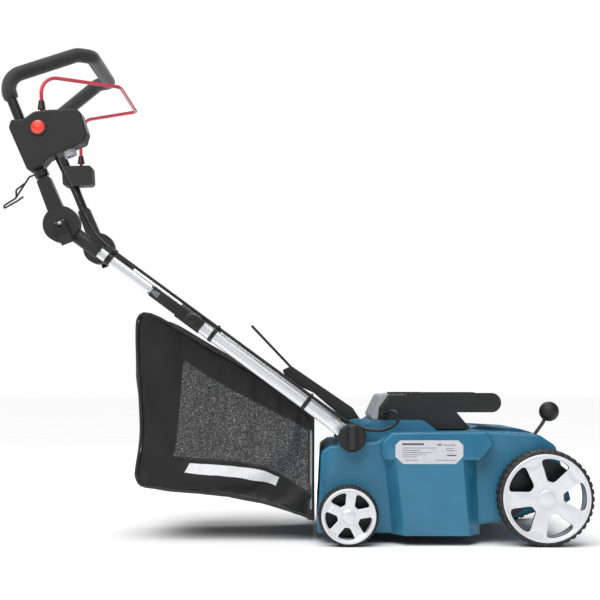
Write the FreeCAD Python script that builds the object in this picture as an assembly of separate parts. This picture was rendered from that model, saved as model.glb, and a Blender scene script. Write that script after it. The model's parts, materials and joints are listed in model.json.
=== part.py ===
import FreeCAD, Part
import functools
import math
import os

# Electric lawn dethatcher with a folding handle and a rear collecting bag.
# Millimetres. +X is forward, -Y is the machine's right side, +Z is up, the ground is Z = 0.
# While it is drawn, X = 0 is the front axle at rest. save() moves every piece so that the
# origin ends up on the ground under the middle of the machine.

# ---- driving dimensions ---------------------------------------------------------------
# overall
FRONT_WHEEL_R = 100.0
REAR_WHEEL_R = 63.0
WHEELBASE = 408.0
WORKING_WIDTH = 352.0        # across the outermost blades
HANDLE_ANGLE = 36.2          # lower handle above the horizontal, degrees
UPPER_ANGLE = 112.5          # upper handle from +X, degrees

# fits and walls
RUN_FIT = 0.05               # radial clearance of a shaft or pin that turns
GAP = 0.4                    # clearance between pieces that move past each other
WALL = 3.0                   # moulded shells

# wheels
FRONT_TYRE_W = 50.0
REAR_TYRE_W = 42.0
FRONT_RIM_R = 90.5
REAR_RIM_R = 56.5
FRONT_HUB_R = 17.0
REAR_HUB_R = 13.0
WINDOWS = 5                  # openings round each rim
STUB_R = 6.0                 # both axles, where the wheels run

# deck
BLADE_MARGIN = 14.0          # outermost blade to side plate
BELT_ROOM = 25.0             # side plate to deck wall
WHEEL_ROOM = 60.0            # deck wall to outer face of the wheels
PANEL_RISE = 37.0            # raised panels between the wheels, beyond the deck wall
DECK_BOTTOM = 21.0
DECK_TOP = 236.0
REAR_TOP = 207.0             # lower shoulder behind the raised panels

# blade reel and its drive
REEL_X = -225.0
REEL_Z = 80.0
BLADE_TIP_R = 74.0
BLADE_T = 2.0
BLADE_STATIONS = 16
REEL_SHAFT_R = 10.0
BEARING_R = 18.0
BEARING_W = 12.0
TUNNEL_R = 80.0
PLATE_T = 3.0
MOTOR_BACK = 10.0            # motor shaft behind the reel shaft
MOTOR_Z = 212.0
MOTOR_R = 39.0
MOTOR_HALF_L = 85.0
MOTOR_SHAFT_R = 6.0
SMALL_PULLEY_R = 14.0
LARGE_PULLEY_R = 28.0
PULLEY_OUT = 32.0            # side plate to the inner face of both pulleys
PULLEY_W = 16.0
BELT_T = 3.0

# cranked front axle and depth lever
CRANK = 25.0                 # axle pivot behind the wheel centre
AXLE_R = 7.0
LEVER_IN = 13.0              # depth lever inside the right deck wall
LEVER_R = 3.75
BALL_R = 21.0

# motor cover and carrying handle
COVER_IN = 45.0              # cover's sides inside the deck walls
COVER_TOP = 313.0
ARM_T = 18.0                 # carrying handle arms, across
ARM_R = 21.0                 # carrying handle grip
GRIP_AHEAD = 128.0           # carrying grip in front of the reel shaft
GRIP_BELOW = 18.0            # grip's middle below the top of the cover
RIB_COUNT = 8

# folding handle
HANDLE_OUT = 13.0            # handle tubes' middle beyond the deck walls
KNOB_AHEAD = 8.4             # deck knob in front of the rear axle
KNOB_ABOVE = 15.6            # deck knob above the rear shoulder
KNOB_R = 30.0
BOLT_R = 5.0
LOWER_W = 27.0               # lower tube, in its own plane
LOWER_T = 21.0               # lower tube, across
TUBE_WALL = 1.5
LOWER_END = 445.0            # upper end of the lower tube, from the knob along the tube
CLAMP_S = 419.0              # clamping lever's pin, from the knob along the tube
SOCKET_S = 664.0             # start of the pivot socket, from the knob along the tube
PIVOT_S = 764.0              # pivot disc, from the knob along the tube
DISC_R = 38.5
ROUND_R = 11.0               # round upper tube
ROUND_WALL = 2.0
FOAM_R = 16.0
LOOP_RISE = 343.0            # pivot to the corner where the loop turns forward
LOOP_HALF = 116.0            # half the grip's straight cross piece

# bail and switch box
BAIL_R = 4.0
BAIL_RISE = 126.0            # pivot to the bail's top
BAIL_LEAN = 5.0
BAIL_REACH = 151.0           # pivot to the bail's cross piece
BAIL_UP = 201.0              # bail's pivot, from the pivot disc up the arm
BAIL_AHEAD = 32.5            # and in front of the arm
BOX_HALF = 24.0              # switch box, each way from the tube's middle
BUTTON_UP = 209.5            # start button, from the pivot disc up the arm
BUTTON_AHEAD = 32.8
BUTTON_R = 14.5
INLET_UP = 142.5             # power inlet, from the pivot disc up the arm
INLET_AHEAD = 73.0

# bag and rear flap
BAG_IN = 27.0                # bag's sides inside the deck walls
BAG_WALL = 2.0
BAG_AHEAD = 70.0             # mouth of the bag behind the rear axle
FLAP_PIN_AHEAD = 13.6        # flap pin in front of the deck knob
FLAP_PIN_ABOVE = 27.4
FLAP_IN = 31.0               # flap's sides inside the deck walls
FLAP_PIN_R = 4.0

# cable
CABLE_R = 3.5
CABLE_CLEAR = 2.5            # cable above the lower tube

# ---- derived sizes --------------------------------------------------------------------
REAR_X = -WHEELBASE
AXLE_PIVOT_X = -CRANK
PLATE_Y = WORKING_WIDTH / 2 + BLADE_MARGIN     # inner faces of the chassis side plates
DECK_HALF_W = PLATE_Y + BELT_ROOM              # side walls beside the wheels
PANEL_HALF_W = DECK_HALF_W + PANEL_RISE
WHEEL_OUT = DECK_HALF_W + WHEEL_ROOM
PULLEY_Y = PLATE_Y + PULLEY_OUT
LEVER_Y = LEVER_IN - DECK_HALF_W
COVER_HALF_W = DECK_HALF_W - COVER_IN
HANDLE_Y = DECK_HALF_W + HANDLE_OUT
BOX_OUT = HANDLE_Y + BOX_HALF
BOX_IN = HANDLE_Y - BOX_HALF
CABLE_LIFT = LOWER_W / 2 + CABLE_CLEAR + CABLE_R   # cable's middle above the tube's middle
BAG_HALF_W = DECK_HALF_W - BAG_IN
FLAP_HALF_W = DECK_HALF_W - FLAP_IN
THROUGH = WHEEL_OUT + 125                      # half length of a cut that goes right through
MOTOR_X = REEL_X - MOTOR_BACK
GRIP_X = REEL_X + GRIP_AHEAD
GRIP_Z = COVER_TOP - GRIP_BELOW
KNOB_X = REAR_X + KNOB_AHEAD
KNOB_Z = REAR_TOP + KNOB_ABOVE
FLAP_PIN_X = KNOB_X + FLAP_PIN_AHEAD
FLAP_PIN_Z = KNOB_Z + FLAP_PIN_ABOVE
BAG_FRONT = REAR_X - BAG_AHEAD
ALONG = FreeCAD.Vector(-math.cos(math.radians(HANDLE_ANGLE)), 0, math.sin(math.radians(HANDLE_ANGLE)))
ACROSS = FreeCAD.Vector(ALONG.z, 0, -ALONG.x)
UPWARD = FreeCAD.Vector(math.cos(math.radians(UPPER_ANGLE)), 0, math.sin(math.radians(UPPER_ANGLE)))
AHEAD = FreeCAD.Vector(UPWARD.z, 0, -UPWARD.x)
KNOB = FreeCAD.Vector(KNOB_X, 0, KNOB_Z)
PIVOT = KNOB + ALONG * PIVOT_S
BAIL = PIVOT + UPWARD * BAIL_UP + AHEAD * BAIL_AHEAD
BUTTON = PIVOT + UPWARD * BUTTON_UP + AHEAD * BUTTON_AHEAD
SIDE_Y = FreeCAD.Vector(0, 1, 0)
HOOK_REACH = 85.0            # cord hook, from the upper arm rearward
HOOK_T = 112.0               # cord hook's collar, from the pivot up the arm

os.makedirs("parts", exist_ok=True)


# ---- drawing helpers ------------------------------------------------------------------
def vec(x, y, z):
    return FreeCAD.Vector(x, y, z)


def save(name, *solids):
    """Write one node, moved into the machine's own frame."""
    shape = solids[0] if len(solids) == 1 else Part.makeCompound(list(solids))
    moved = shape.copy()
    moved.translate(vec(-origin_x(), 0, 0))
    assert moved.isValid(), name
    moved.exportStep("parts/" + name + ".step")
    print("%-20s solids %3d  volume %10.0f" % (name, len(moved.Solids), moved.Volume))


@functools.cache
def origin_x():
    """Half way between the front wheels' tread and the rear of the grip."""
    return (FRONT_WHEEL_R + foam().optimalBoundingBox(False).XMin) / 2


def join(shapes):
    whole = shapes[0]
    for shape in shapes[1:]:
        whole = whole.fuse(shape)
    return whole.removeSplitter()


def box(x0, x1, y0, y1, z0, z1):
    return Part.makeBox(x1 - x0, y1 - y0, z1 - z0, vec(x0, y0, z0))


def both_sides(shape):
    """The shape and its mirror image on the machine's other side."""
    return [shape, mirrored(shape)]


def mirrored(shape):
    return shape.mirror(vec(0, 0, 0), SIDE_Y)


def on_arm(up, ahead, corner=0):
    """A point beside the upper arm, as (x, z, corner radius)."""
    point = PIVOT + UPWARD * up + AHEAD * ahead
    return point.x, point.z, corner


def under_tube(along, drop, corner=0):
    """A point below the lower handle tube's middle, as (x, z, corner radius)."""
    point = KNOB + ALONG * along - ACROSS * drop
    return point.x, point.z, corner


def rod(start, end, radius):
    return Part.makeCylinder(radius, (end - start).Length, start, end - start)


def rod_y(x, z, radius, y0, y1):
    return Part.makeCylinder(radius, y1 - y0, vec(x, y0, z), SIDE_Y)


def ring_y(x, z, outer, inner, y0, y1):
    return rod_y(x, z, outer, y0, y1).cut(rod_y(x, z, inner, y0 - 1, y1 + 1))


def corner_arc(before, point, after, radius):
    """Tangent points and middle of the arc that rounds one corner."""
    a = (before - point).normalize()
    b = (after - point).normalize()
    half = a.getAngle(b) / 2
    reach = radius / math.tan(half)
    middle = (a + b).normalize()
    inset = radius / math.sin(half) - radius
    return point + a * reach, point + middle * inset, point + b * reach


def route(points, radii):
    """An open wire of straight runs joined by tangent arcs."""
    edges = []
    here = points[0]
    for i in range(1, len(points) - 1):
        start, middle, end = corner_arc(points[i - 1], points[i], points[i + 1], radii[i - 1])
        edges.append(Part.LineSegment(here, start).toShape())
        edges.append(Part.Arc(start, middle, end).toShape())
        here = end
    edges.append(Part.LineSegment(here, points[-1]).toShape())
    return Part.Wire(edges)


def swept(points, radii, radius):
    """A round bar along a route."""
    wire = route(points, radii)
    start = points[0]
    circle = Part.Wire([Part.makeCircle(radius, start, points[1] - start)])
    return wire.makePipeShell([circle], True, False)


def cable(points, radius, name):
    """A cable along its route: each bend is as large as its two runs allow."""
    radii = []
    for i in range(1, len(points) - 1):
        a = points[i] - points[i - 1]
        b = points[i + 1] - points[i]
        turn = a.getAngle(b)
        radii.append(0.45 * min(a.Length, b.Length) / math.tan(turn / 2))
    print(name, "bend radii", [round(r) for r in radii])
    shape = swept(points, radii, radius)
    length = route(points, radii).Length
    print(name, "length", round(length, 1), "volume ratio", shape.Volume / (length * math.pi * radius ** 2))
    return shape


def outline(points, radius):
    """A closed wire in an XZ plane with every corner rounded. Points are (x, z) or (x, z, radius)."""
    flat = [vec(p[0], 0, p[1]) for p in points]
    sizes = [p[2] if len(p) > 2 else radius for p in points]
    count = len(flat)
    cuts = []
    for i in range(count):
        if sizes[i] > 0:
            cuts.append(corner_arc(flat[i - 1], flat[i], flat[(i + 1) % count], sizes[i]))
        else:
            cuts.append((flat[i], flat[i], flat[i]))
    edges = []
    for i in range(count):
        start, middle, end = cuts[i]
        if sizes[i] > 0:
            edges.append(Part.Arc(start, middle, end).toShape())
        edges.append(Part.LineSegment(end, cuts[(i + 1) % count][0]).toShape())
    return Part.Wire(edges)


def slab(wire, y0, y1):
    """A wire in the XZ plane, filled and pulled from y0 to y1."""
    moved = wire.copy()
    moved.translate(vec(0, y0, 0))
    return Part.Face(moved).extrude(vec(0, y1 - y0, 0))


def inset(wire, distance):
    return wire.makeOffset2D(-distance, 2)


def spun(profile, x, z):
    """A turned piece about a Y axis. The profile's points are (radius, y)."""
    points = [vec(x + r, y, z) for r, y in profile]
    wire = Part.makePolygon(points + [points[0]])
    return Part.Face(wire).revolve(vec(x, 0, z), SIDE_Y, 360)


def placed(shape, origin, along, outward):
    """Move a piece drawn at the origin: its +X goes along, its +Z outward."""
    side = outward.cross(along)
    matrix = FreeCAD.Matrix(along.x, side.x, outward.x, origin.x,
                            along.y, side.y, outward.y, origin.y,
                            along.z, side.z, outward.z, origin.z,
                            0, 0, 0, 1)
    moved = shape.copy()
    moved.transformShape(matrix)
    return moved


def oval(width, thick, origin):
    """A stadium-shaped wire across a tube: wide in the handle's plane, thin along Y."""
    r = thick / 2
    flat = width / 2 - r
    a = origin + ACROSS * flat
    b = origin - ACROSS * flat
    y = SIDE_Y * r
    out = ACROSS * r
    edges = [Part.LineSegment(b - y, a - y).toShape(), Part.Arc(a - y, a + out, a + y).toShape(),
             Part.LineSegment(a + y, b + y).toShape(), Part.Arc(b + y, b - out, b - y).toShape()]
    return Part.Wire(edges)


def oval_bar(width, thick, y, s0, s1):
    start = KNOB + ALONG * s0 + SIDE_Y * y
    return Part.Face(oval(width, thick, start)).extrude(ALONG * (s1 - s0))


# ---- wheels ---------------------------------------------------------------------------
def tyre(x, z, radius, rim_r, width):
    """A rubber ring with a rounded tread, on the machine's left side."""
    inner = rim_r - 6
    y1 = WHEEL_OUT - WALL
    y0 = WHEEL_OUT - width
    edge = 4.0
    profile = [(inner, y0), (radius - 2 * edge, y0), (radius - 1, y0 + 2 * edge),
               (radius, (y0 + y1) / 2), (radius - 1, y1 - 2 * edge), (radius - edge, y1 - edge / 2),
               (radius - 1.6 * edge, y1), (inner, y1)]
    return spun(profile, x, z)


def rim(x, z, rim_r, hub_r, width, first_window):
    """A moulded rim: barrel, outer flange, dished face with windows, hub and domed cap."""
    y1 = WHEEL_OUT
    y0 = WHEEL_OUT - width
    seat = rim_r - 6
    barrel = ring_y(x, z, seat, seat - 3.5, y0 + 1, y1)
    flange = ring_y(x, z, rim_r, seat - 3.5, y1 - WALL, y1)
    face = spun([(STUB_R + 1, y1 - 14), (seat - 3, y1 - 9), (seat - 3, y1 - 1), (hub_r, y1 - 5),
                 (STUB_R + 1, y1 - 5)], x, z)
    window_out = seat - 6
    window_in = hub_r + 10
    for i in range(WINDOWS):
        turn = first_window + 360.0 * i / WINDOWS
        wide = math.radians(23)
        narrow = math.radians(15)
        corners = [(window_out, -wide), (window_out * 1.06, 0), (window_out, wide), (window_in, narrow),
                   (window_in * 0.92, 0), (window_in, -narrow)]
        points = [(r * math.cos(a), r * math.sin(a), 0) for r, a in corners]
        hole = slab(outline(points, 0), y1 - 30, y1 + 10)
        hole.rotate(vec(0, 0, 0), SIDE_Y, -turn)
        hole.translate(vec(x, 0, z))
        face = face.cut(hole)
    hub = rod_y(x, z, hub_r, y0, y1 - 4)
    cap = spun([(0, y1 - 4.5), (hub_r * 1.12, y1 - 4.5), (hub_r * 1.0, y1 - 2), (hub_r * 0.7, y1 - 0.6),
                (0, y1)], x, z)
    whole = join([barrel, flange, face, hub, cap])
    bore = rod_y(x, z, STUB_R + RUN_FIT, y0 - 1, y1 - 8)
    return whole.cut(bore)


def wheels():
    sets = [("front", 0.0, FRONT_WHEEL_R, FRONT_RIM_R, FRONT_HUB_R, FRONT_TYRE_W, 3),
            ("rear", REAR_X, REAR_WHEEL_R, REAR_RIM_R, REAR_HUB_R, REAR_TYRE_W, 47)]
    for name, x, radius, rim_r, hub_r, width, window in sets:
        rubber = tyre(x, radius, radius, rim_r, width)
        wheel = rim(x, radius, rim_r, hub_r, width, window)
        save(name + "_tyre_left", rubber)
        save(name + "_tyre_right", mirrored(rubber))
        save(name + "_rim_left", wheel)
        save(name + "_rim_right", mirrored(wheel))


# ---- chassis, reel and drive ----------------------------------------------------------
def chassis():
    """Two steel side plates joined by the arched roof of the blade tunnel."""
    plate_outline = outline([(REAR_X - 24, 38), (REAR_X - 24, 90), (REEL_X - 84, 150), (REEL_X - 60, 196),
                             (MOTOR_X + 62, 196), (REEL_X + 92, 140), (AXLE_PIVOT_X + 24, 118),
                             (AXLE_PIVOT_X + 24, 82), (REEL_X + 96, 56), (REEL_X + 60, 34)], 8)
    outer = slab(plate_outline, PLATE_Y, PLATE_Y + PLATE_T)
    holes = [rod_y(REEL_X, REEL_Z, BEARING_R, PLATE_Y - 5, PLATE_Y + 10),
             rod_y(REAR_X, REAR_WHEEL_R, STUB_R, PLATE_Y - 5, PLATE_Y + 10),
             rod_y(AXLE_PIVOT_X, FRONT_WHEEL_R, AXLE_R + RUN_FIT, PLATE_Y - 5, PLATE_Y + 10)]
    for hole in holes:
        outer = outer.cut(hole)
    outer = outer.cut(rod_y(MOTOR_X, MOTOR_Z, SMALL_PULLEY_R + 8, PLATE_Y - 5, PLATE_Y + 10))
    arch = ring_y(REEL_X, REEL_Z, TUNNEL_R + PLATE_T, TUNNEL_R, -PLATE_Y, PLATE_Y)
    below = box(REEL_X - 120, REEL_X + 120, -PLATE_Y - 1, PLATE_Y + 1, -20, REEL_Z)
    chute_cut = box(REEL_X - 120, REEL_X - 48, -PLATE_Y - 1, PLATE_Y + 1, -20, 200)
    arch = arch.cut(below).cut(chute_cut)
    apron = box(REEL_X + TUNNEL_R, REEL_X + TUNNEL_R + PLATE_T, -PLATE_Y, PLATE_Y, 46, REEL_Z)
    roof_z = REEL_Z + math.sqrt(TUNNEL_R ** 2 - 48 ** 2)
    chute = slab(outline([(REEL_X - 50, roof_z - 0.2), (REEL_X - 50, roof_z + 5), (REAR_X - 40, 178),
                          (REAR_X - 40, 174)], 0), -PLATE_Y, PLATE_Y)
    cradle = box(MOTOR_X - 30, MOTOR_X + 30, -MOTOR_HALF_L + 10, MOTOR_HALF_L - 10, REEL_Z + TUNNEL_R - 4,
                 MOTOR_Z - 20)
    cradle = cradle.cut(rod_y(MOTOR_X, MOTOR_Z, MOTOR_R, -THROUGH, THROUGH))
    cradle = cradle.cut(rod_y(REEL_X, REEL_Z, TUNNEL_R + 1, -THROUGH, THROUGH))
    save("chassis_frame", join([outer, mirrored(outer), arch, apron, chute, cradle]))


def reel():
    """Shaft, sprung steel blades and the spacers between them."""
    reach = WORKING_WIDTH / 2
    pitch = (WORKING_WIDTH - BLADE_T) / (BLADE_STATIONS - 1)
    shaft = rod_y(REEL_X, REEL_Z, REEL_SHAFT_R, -PLATE_Y - BEARING_W + 4, PULLEY_Y + PULLEY_W + 4)
    save("reel_shaft", shaft)
    blades = []
    spacers = []
    for i in range(BLADE_STATIONS):
        y = -reach + pitch * i
        blades.append(blade(y, 40 * i))
        if i < BLADE_STATIONS - 1:
            spacers.append(ring_y(REEL_X, REEL_Z, REEL_SHAFT_R + 7, REEL_SHAFT_R, y + BLADE_T, y + pitch))
    save("reel_blades", *blades)
    save("reel_spacers", *spacers)
    bearing = ring_y(REEL_X, REEL_Z, BEARING_R, REEL_SHAFT_R + RUN_FIT, PLATE_Y - 4, PLATE_Y - 4 + BEARING_W)
    save("reel_bearings", bearing, mirrored(bearing))


def blade(y, turn):
    """One two-ended blade with hooked tips."""
    disc = rod_y(0, 0, REEL_SHAFT_R + 12, y, y + BLADE_T)
    hook = outline([(REEL_SHAFT_R, -11), (BLADE_TIP_R - 18, -9), (BLADE_TIP_R - 6, -20),
                    (BLADE_TIP_R - 2, -14),
                    (BLADE_TIP_R - 8, 8), (REEL_SHAFT_R, 11)], 2)
    arm = slab(hook, y, y + BLADE_T)
    other = arm.copy()
    other.rotate(vec(0, 0, 0), SIDE_Y, 180)
    whole = join([disc, arm, other]).cut(rod_y(0, 0, REEL_SHAFT_R, y - 1, y + BLADE_T + 1))
    whole.rotate(vec(0, 0, 0), SIDE_Y, turn)
    whole.translate(vec(REEL_X, 0, REEL_Z))
    return whole


def pulley(x, z, radius, bore):
    """A flat-belt pulley with two flanges."""
    y0 = PULLEY_Y
    y1 = PULLEY_Y + PULLEY_W
    lip = 2.0
    profile = [(bore, y0), (radius + lip, y0), (radius + lip, y0 + lip), (radius, y0 + lip),
               (radius, y1 - lip), (radius + lip, y1 - lip), (radius + lip, y1), (bore, y1)]
    return spun(profile, x, z)


def drive():
    stator = rod_y(MOTOR_X, MOTOR_Z, MOTOR_R, -MOTOR_HALF_L + 15, MOTOR_HALF_L - 15)
    bell = spun([(MOTOR_SHAFT_R + 2, MOTOR_HALF_L - 15), (MOTOR_R - 1, MOTOR_HALF_L - 15),
                 (MOTOR_R - 6, MOTOR_HALF_L - 4), (16, MOTOR_HALF_L), (MOTOR_SHAFT_R + 2, MOTOR_HALF_L)],
                MOTOR_X, MOTOR_Z)
    bore = rod_y(MOTOR_X, MOTOR_Z, MOTOR_SHAFT_R + RUN_FIT, -THROUGH, THROUGH)
    bush = ring_y(MOTOR_X, MOTOR_Z, MOTOR_SHAFT_R + 2, MOTOR_SHAFT_R + RUN_FIT, MOTOR_HALF_L - 15,
                  MOTOR_HALF_L)
    save("motor_body", stator.cut(bore), *both_sides(join([bell, bush])))
    save("motor_shaft", rod_y(MOTOR_X, MOTOR_Z, MOTOR_SHAFT_R, -MOTOR_HALF_L - 4, PULLEY_Y + PULLEY_W + 2))
    save("motor_pulley", pulley(MOTOR_X, MOTOR_Z, SMALL_PULLEY_R, MOTOR_SHAFT_R))
    save("reel_pulley", pulley(REEL_X, REEL_Z, LARGE_PULLEY_R, REEL_SHAFT_R))
    save("drive_belt", belt())


def belt():
    """The closed loop round both pulleys, just clear of their rims."""
    small = vec(MOTOR_X, 0, MOTOR_Z)
    large = vec(REEL_X, 0, REEL_Z)
    reach = small - large
    lean = math.acos((LARGE_PULLEY_R - SMALL_PULLEY_R) / reach.Length)
    base = math.atan2(reach.z, reach.x)

    def loop(extra):
        def at(centre, radius, angle):
            return centre + vec(math.cos(angle), 0, math.sin(angle)) * (radius + extra)
        a = at(large, LARGE_PULLEY_R, base + lean)
        b = at(large, LARGE_PULLEY_R, base + math.pi)
        c = at(large, LARGE_PULLEY_R, base - lean)
        d = at(small, SMALL_PULLEY_R, base - lean)
        e = at(small, SMALL_PULLEY_R, base)
        f = at(small, SMALL_PULLEY_R, base + lean)
        return Part.Wire([Part.Arc(a, b, c).toShape(), Part.LineSegment(c, d).toShape(),
                          Part.Arc(d, e, f).toShape(), Part.LineSegment(f, a).toShape()])
    y0 = PULLEY_Y + 2 + GAP
    y1 = PULLEY_Y + PULLEY_W - 2 - GAP
    return slab(loop(GAP + BELT_T), y0, y1).cut(slab(loop(GAP), y0 - 1, y1 + 1))


def axles():
    rear = rod_y(REAR_X, REAR_WHEEL_R, STUB_R, -WHEEL_OUT + 9, WHEEL_OUT - 9)
    save("rear_axle", rear)
    bar = rod_y(AXLE_PIVOT_X, FRONT_WHEEL_R, AXLE_R, -DECK_HALF_W - 6, DECK_HALF_W + 6)
    arm_in = DECK_HALF_W + 1.2
    arm_out = WHEEL_OUT - FRONT_TYRE_W - 1.2
    hull = outline([(AXLE_PIVOT_X - 11, FRONT_WHEEL_R - 11), (11, FRONT_WHEEL_R - 11),
                    (11, FRONT_WHEEL_R + 11), (AXLE_PIVOT_X - 11, FRONT_WHEEL_R + 11)], 9)
    crank = slab(hull, arm_in, arm_out)
    stub = rod_y(0, FRONT_WHEEL_R, STUB_R, arm_in, WHEEL_OUT - 9)
    save("front_axle", join([bar] + both_sides(crank) + both_sides(stub)))
    foot = vec(AXLE_PIVOT_X, LEVER_Y, FRONT_WHEEL_R)
    collar = ring_y(AXLE_PIVOT_X, FRONT_WHEEL_R, AXLE_R + 6, AXLE_R, LEVER_Y - 6, LEVER_Y + 6)
    bends = [foot + vec(1, 0, AXLE_R + 3), foot + vec(9, 0, 122), foot + vec(31, 0, 152),
             foot + vec(40, 0, 168)]
    save("depth_lever", join([collar, swept(bends, [14, 20], LEVER_R)]))
    centre = foot + vec(45, 0, 177)
    ball = Part.makeSphere(BALL_R, centre)
    tail = bends[-1] - bends[-2]
    socket = Part.makeCylinder(LEVER_R, 40, bends[-1] - tail.normalize() * 40, tail)
    save("depth_knob", ball.cut(swept(bends, [14, 20], LEVER_R)).cut(socket))


# ---- deck -----------------------------------------------------------------------------
def deck_profile():
    return outline([(REAR_X - 65, DECK_BOTTOM, 6), (REAR_X - 56, REAR_TOP - 14, 14),
                    (REAR_X - 38, REAR_TOP - 2, 8),
                    (REAR_X + 60, REAR_TOP + 6, 12), (REEL_X - 92, DECK_TOP - 2, 8),
                    (REEL_X + 110, DECK_TOP, 60),
                    (-3, 228, 18), (31, 205, 18), (44, 160, 30), (62, 92, 3), (54, 86, 3), (-48, 55, 20),
                    (REEL_X + 86, 37, 20), (REEL_X + 62, DECK_BOTTOM, 10)], 5)


def panel_band():
    """The upper band of the raised side panels, with the plate on it."""
    return outline([(REEL_X - 112, 176, 10), (REEL_X - 114, DECK_TOP - 24, 8), (REEL_X - 92, DECK_TOP - 2, 8),
                    (REEL_X + 108, DECK_TOP, 10), (REEL_X + 122, DECK_TOP - 26, 8),
                    (REEL_X + 94, 176, 10)], 5)


def taper(shrink):
    """The lower half of a raised panel: it narrows outward like a shallow tray."""
    y0 = DECK_HALF_W - 2 if shrink == 0 else DECK_HALF_W - 10
    y1 = PANEL_HALF_W - shrink
    z0 = DECK_BOTTOM if shrink == 0 else DECK_BOTTOM - 40
    z1 = 182.0 - shrink

    def section(y, x0, x1, x2, x3):
        points = [vec(x0, y, z0), vec(x1, y, z1), vec(x2, y, z1), vec(x3, y, z0)]
        return Part.makePolygon(points + [points[0]])
    near = section(y0, REEL_X - 92 + shrink, REEL_X - 107 + shrink, REEL_X + 89 - shrink,
                   REEL_X + 94 - shrink)
    far = section(y1, REEL_X - 66 + shrink, REEL_X - 84 + shrink, REEL_X + 55 - shrink, REEL_X + 67 - shrink)
    return Part.makeLoft([near, far], True, True)


def handle_ear():
    """A pillar on each rear shoulder that carries the handle bolt and the flap pin."""
    shape = outline([(KNOB_X - 30, REAR_TOP - 20, 0), (KNOB_X - 28, KNOB_Z + 4, 14),
                     (KNOB_X - 4, KNOB_Z + 38, 16),
                     (FLAP_PIN_X + 12, FLAP_PIN_Z + 12, 10), (FLAP_PIN_X + 22, REAR_TOP - 20, 0)], 5)
    return slab(shape, FLAP_HALF_W + 8, DECK_HALF_W)


def deck():
    body = slab(deck_profile(), -DECK_HALF_W, DECK_HALF_W)
    edges = [e for e in body.Edges if abs(abs(e.CenterOfMass.y) - DECK_HALF_W) < 0.01]
    top_edges = [e for e in edges if e.CenterOfMass.z > 200]
    body = body.makeFillet(7, top_edges)
    band = slab(panel_band(), DECK_HALF_W - 10, PANEL_HALF_W)
    rim_edges = [e for e in band.Edges if abs(e.CenterOfMass.y - PANEL_HALF_W) < 0.01]
    band = band.makeFillet(6, rim_edges)
    low = taper(0)
    hump = slab(outline([(REEL_X - 142, DECK_TOP - 40, 0), (REEL_X - 142, DECK_TOP + 12, 10),
                         (REEL_X - 126, DECK_TOP + 22, 8), (REEL_X - 20, DECK_TOP + 22, 14),
                         (REEL_X + 8, DECK_TOP + 2, 8), (REEL_X + 16, DECK_TOP - 10, 0)], 5),
                -COVER_HALF_W - 3, COVER_HALF_W + 3)
    ear = handle_ear()
    shell = join([body, band, mirrored(band), low, mirrored(low), hump, ear, mirrored(ear)])
    inner = slab(inset(deck_profile(), WALL), -DECK_HALF_W + WALL, DECK_HALF_W - WALL)
    floor = box(REAR_X - 62, 40, -DECK_HALF_W + WALL, DECK_HALF_W - WALL, -20, 60)
    band_in = slab(inset(panel_band(), WALL), DECK_HALF_W - 20, PANEL_HALF_W - WALL)
    low_in = taper(WALL)
    well = box(REEL_X - 92, REEL_X + 62, 46 - COVER_HALF_W, COVER_HALF_W - 46, DECK_TOP - 60, DECK_TOP + 60)
    for tool in [inner, floor, band_in, mirrored(band_in), low_in, mirrored(low_in), well]:
        shell = shell.cut(tool)
    mouth = box(REAR_X - 80, REAR_X - 40, 36 - BAG_HALF_W, BAG_HALF_W - 36, 62, 168)
    slot_x = AXLE_PIVOT_X
    slot = box(slot_x - 82, slot_x + 21, LEVER_Y - 5.5, LEVER_Y + 5.5, 190, 260)
    notches = [box(slot_x - 76 + 17 * i, slot_x - 66 + 17 * i, LEVER_Y - 9.5, LEVER_Y, 190, 260)
               for i in range(5)]
    reach = DECK_HALF_W + 10
    cuts = [mouth, slot] + notches
    cuts.append(rod_y(AXLE_PIVOT_X, FRONT_WHEEL_R, AXLE_R + GAP, -reach, reach))
    cuts.append(rod_y(REAR_X, REAR_WHEEL_R, STUB_R + GAP, -reach, reach))
    cuts.append(rod_y(FLAP_PIN_X, FLAP_PIN_Z, FLAP_PIN_R, -DECK_HALF_W + 4, DECK_HALF_W - 4))
    cuts.append(rod_y(KNOB_X, KNOB_Z, BOLT_R, -reach, reach))
    cuts.append(box(REEL_X - 58, REEL_X + 44, PANEL_HALF_W - 8, PANEL_HALF_W + 8, 44, 160))
    for cut in cuts:
        shell = shell.cut(cut)
    main = max(shell.Solids, key=lambda s: s.Volume)
    save("deck_housing", main)
    cover = slab(outline([(REEL_X - 64, 38), (REEL_X - 70, 150), (REEL_X - 54, 166), (REEL_X + 36, 166),
                          (REEL_X + 50, 150), (REEL_X + 54, 38)], 8), PANEL_HALF_W, PANEL_HALF_W + 4)
    save("belt_cover", cover.makeFillet(1.5, [e for e in cover.Edges
                                              if abs(e.CenterOfMass.y - PANEL_HALF_W - 4) < 0.01]))
    hood = slab(outline([(REEL_X + 84, DECK_TOP - 1, 0), (REEL_X + 104, DECK_TOP + 7, 10),
                         (-30, DECK_TOP + 2, 60), (0, 229, 16), (4, 224, 0)], 5), 52 - COVER_HALF_W,
                         COVER_HALF_W - 52)
    hood = hood.cut(slab(deck_profile(), -COVER_HALF_W, COVER_HALF_W))
    hood = max(hood.Solids, key=lambda s: s.Volume)
    save("centre_hood", hood)
    plate = slab(outline([(REEL_X - 85, 184), (REEL_X - 85, 208), (REEL_X - 75, 218), (REEL_X + 46, 218),
                          (REEL_X + 56, 208), (REEL_X + 56, 185), (REEL_X + 40, 169), (REEL_X - 69, 169)], 2),
                 -PANEL_HALF_W - 0.8, -PANEL_HALF_W)
    save("rating_plate", plate)


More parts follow.
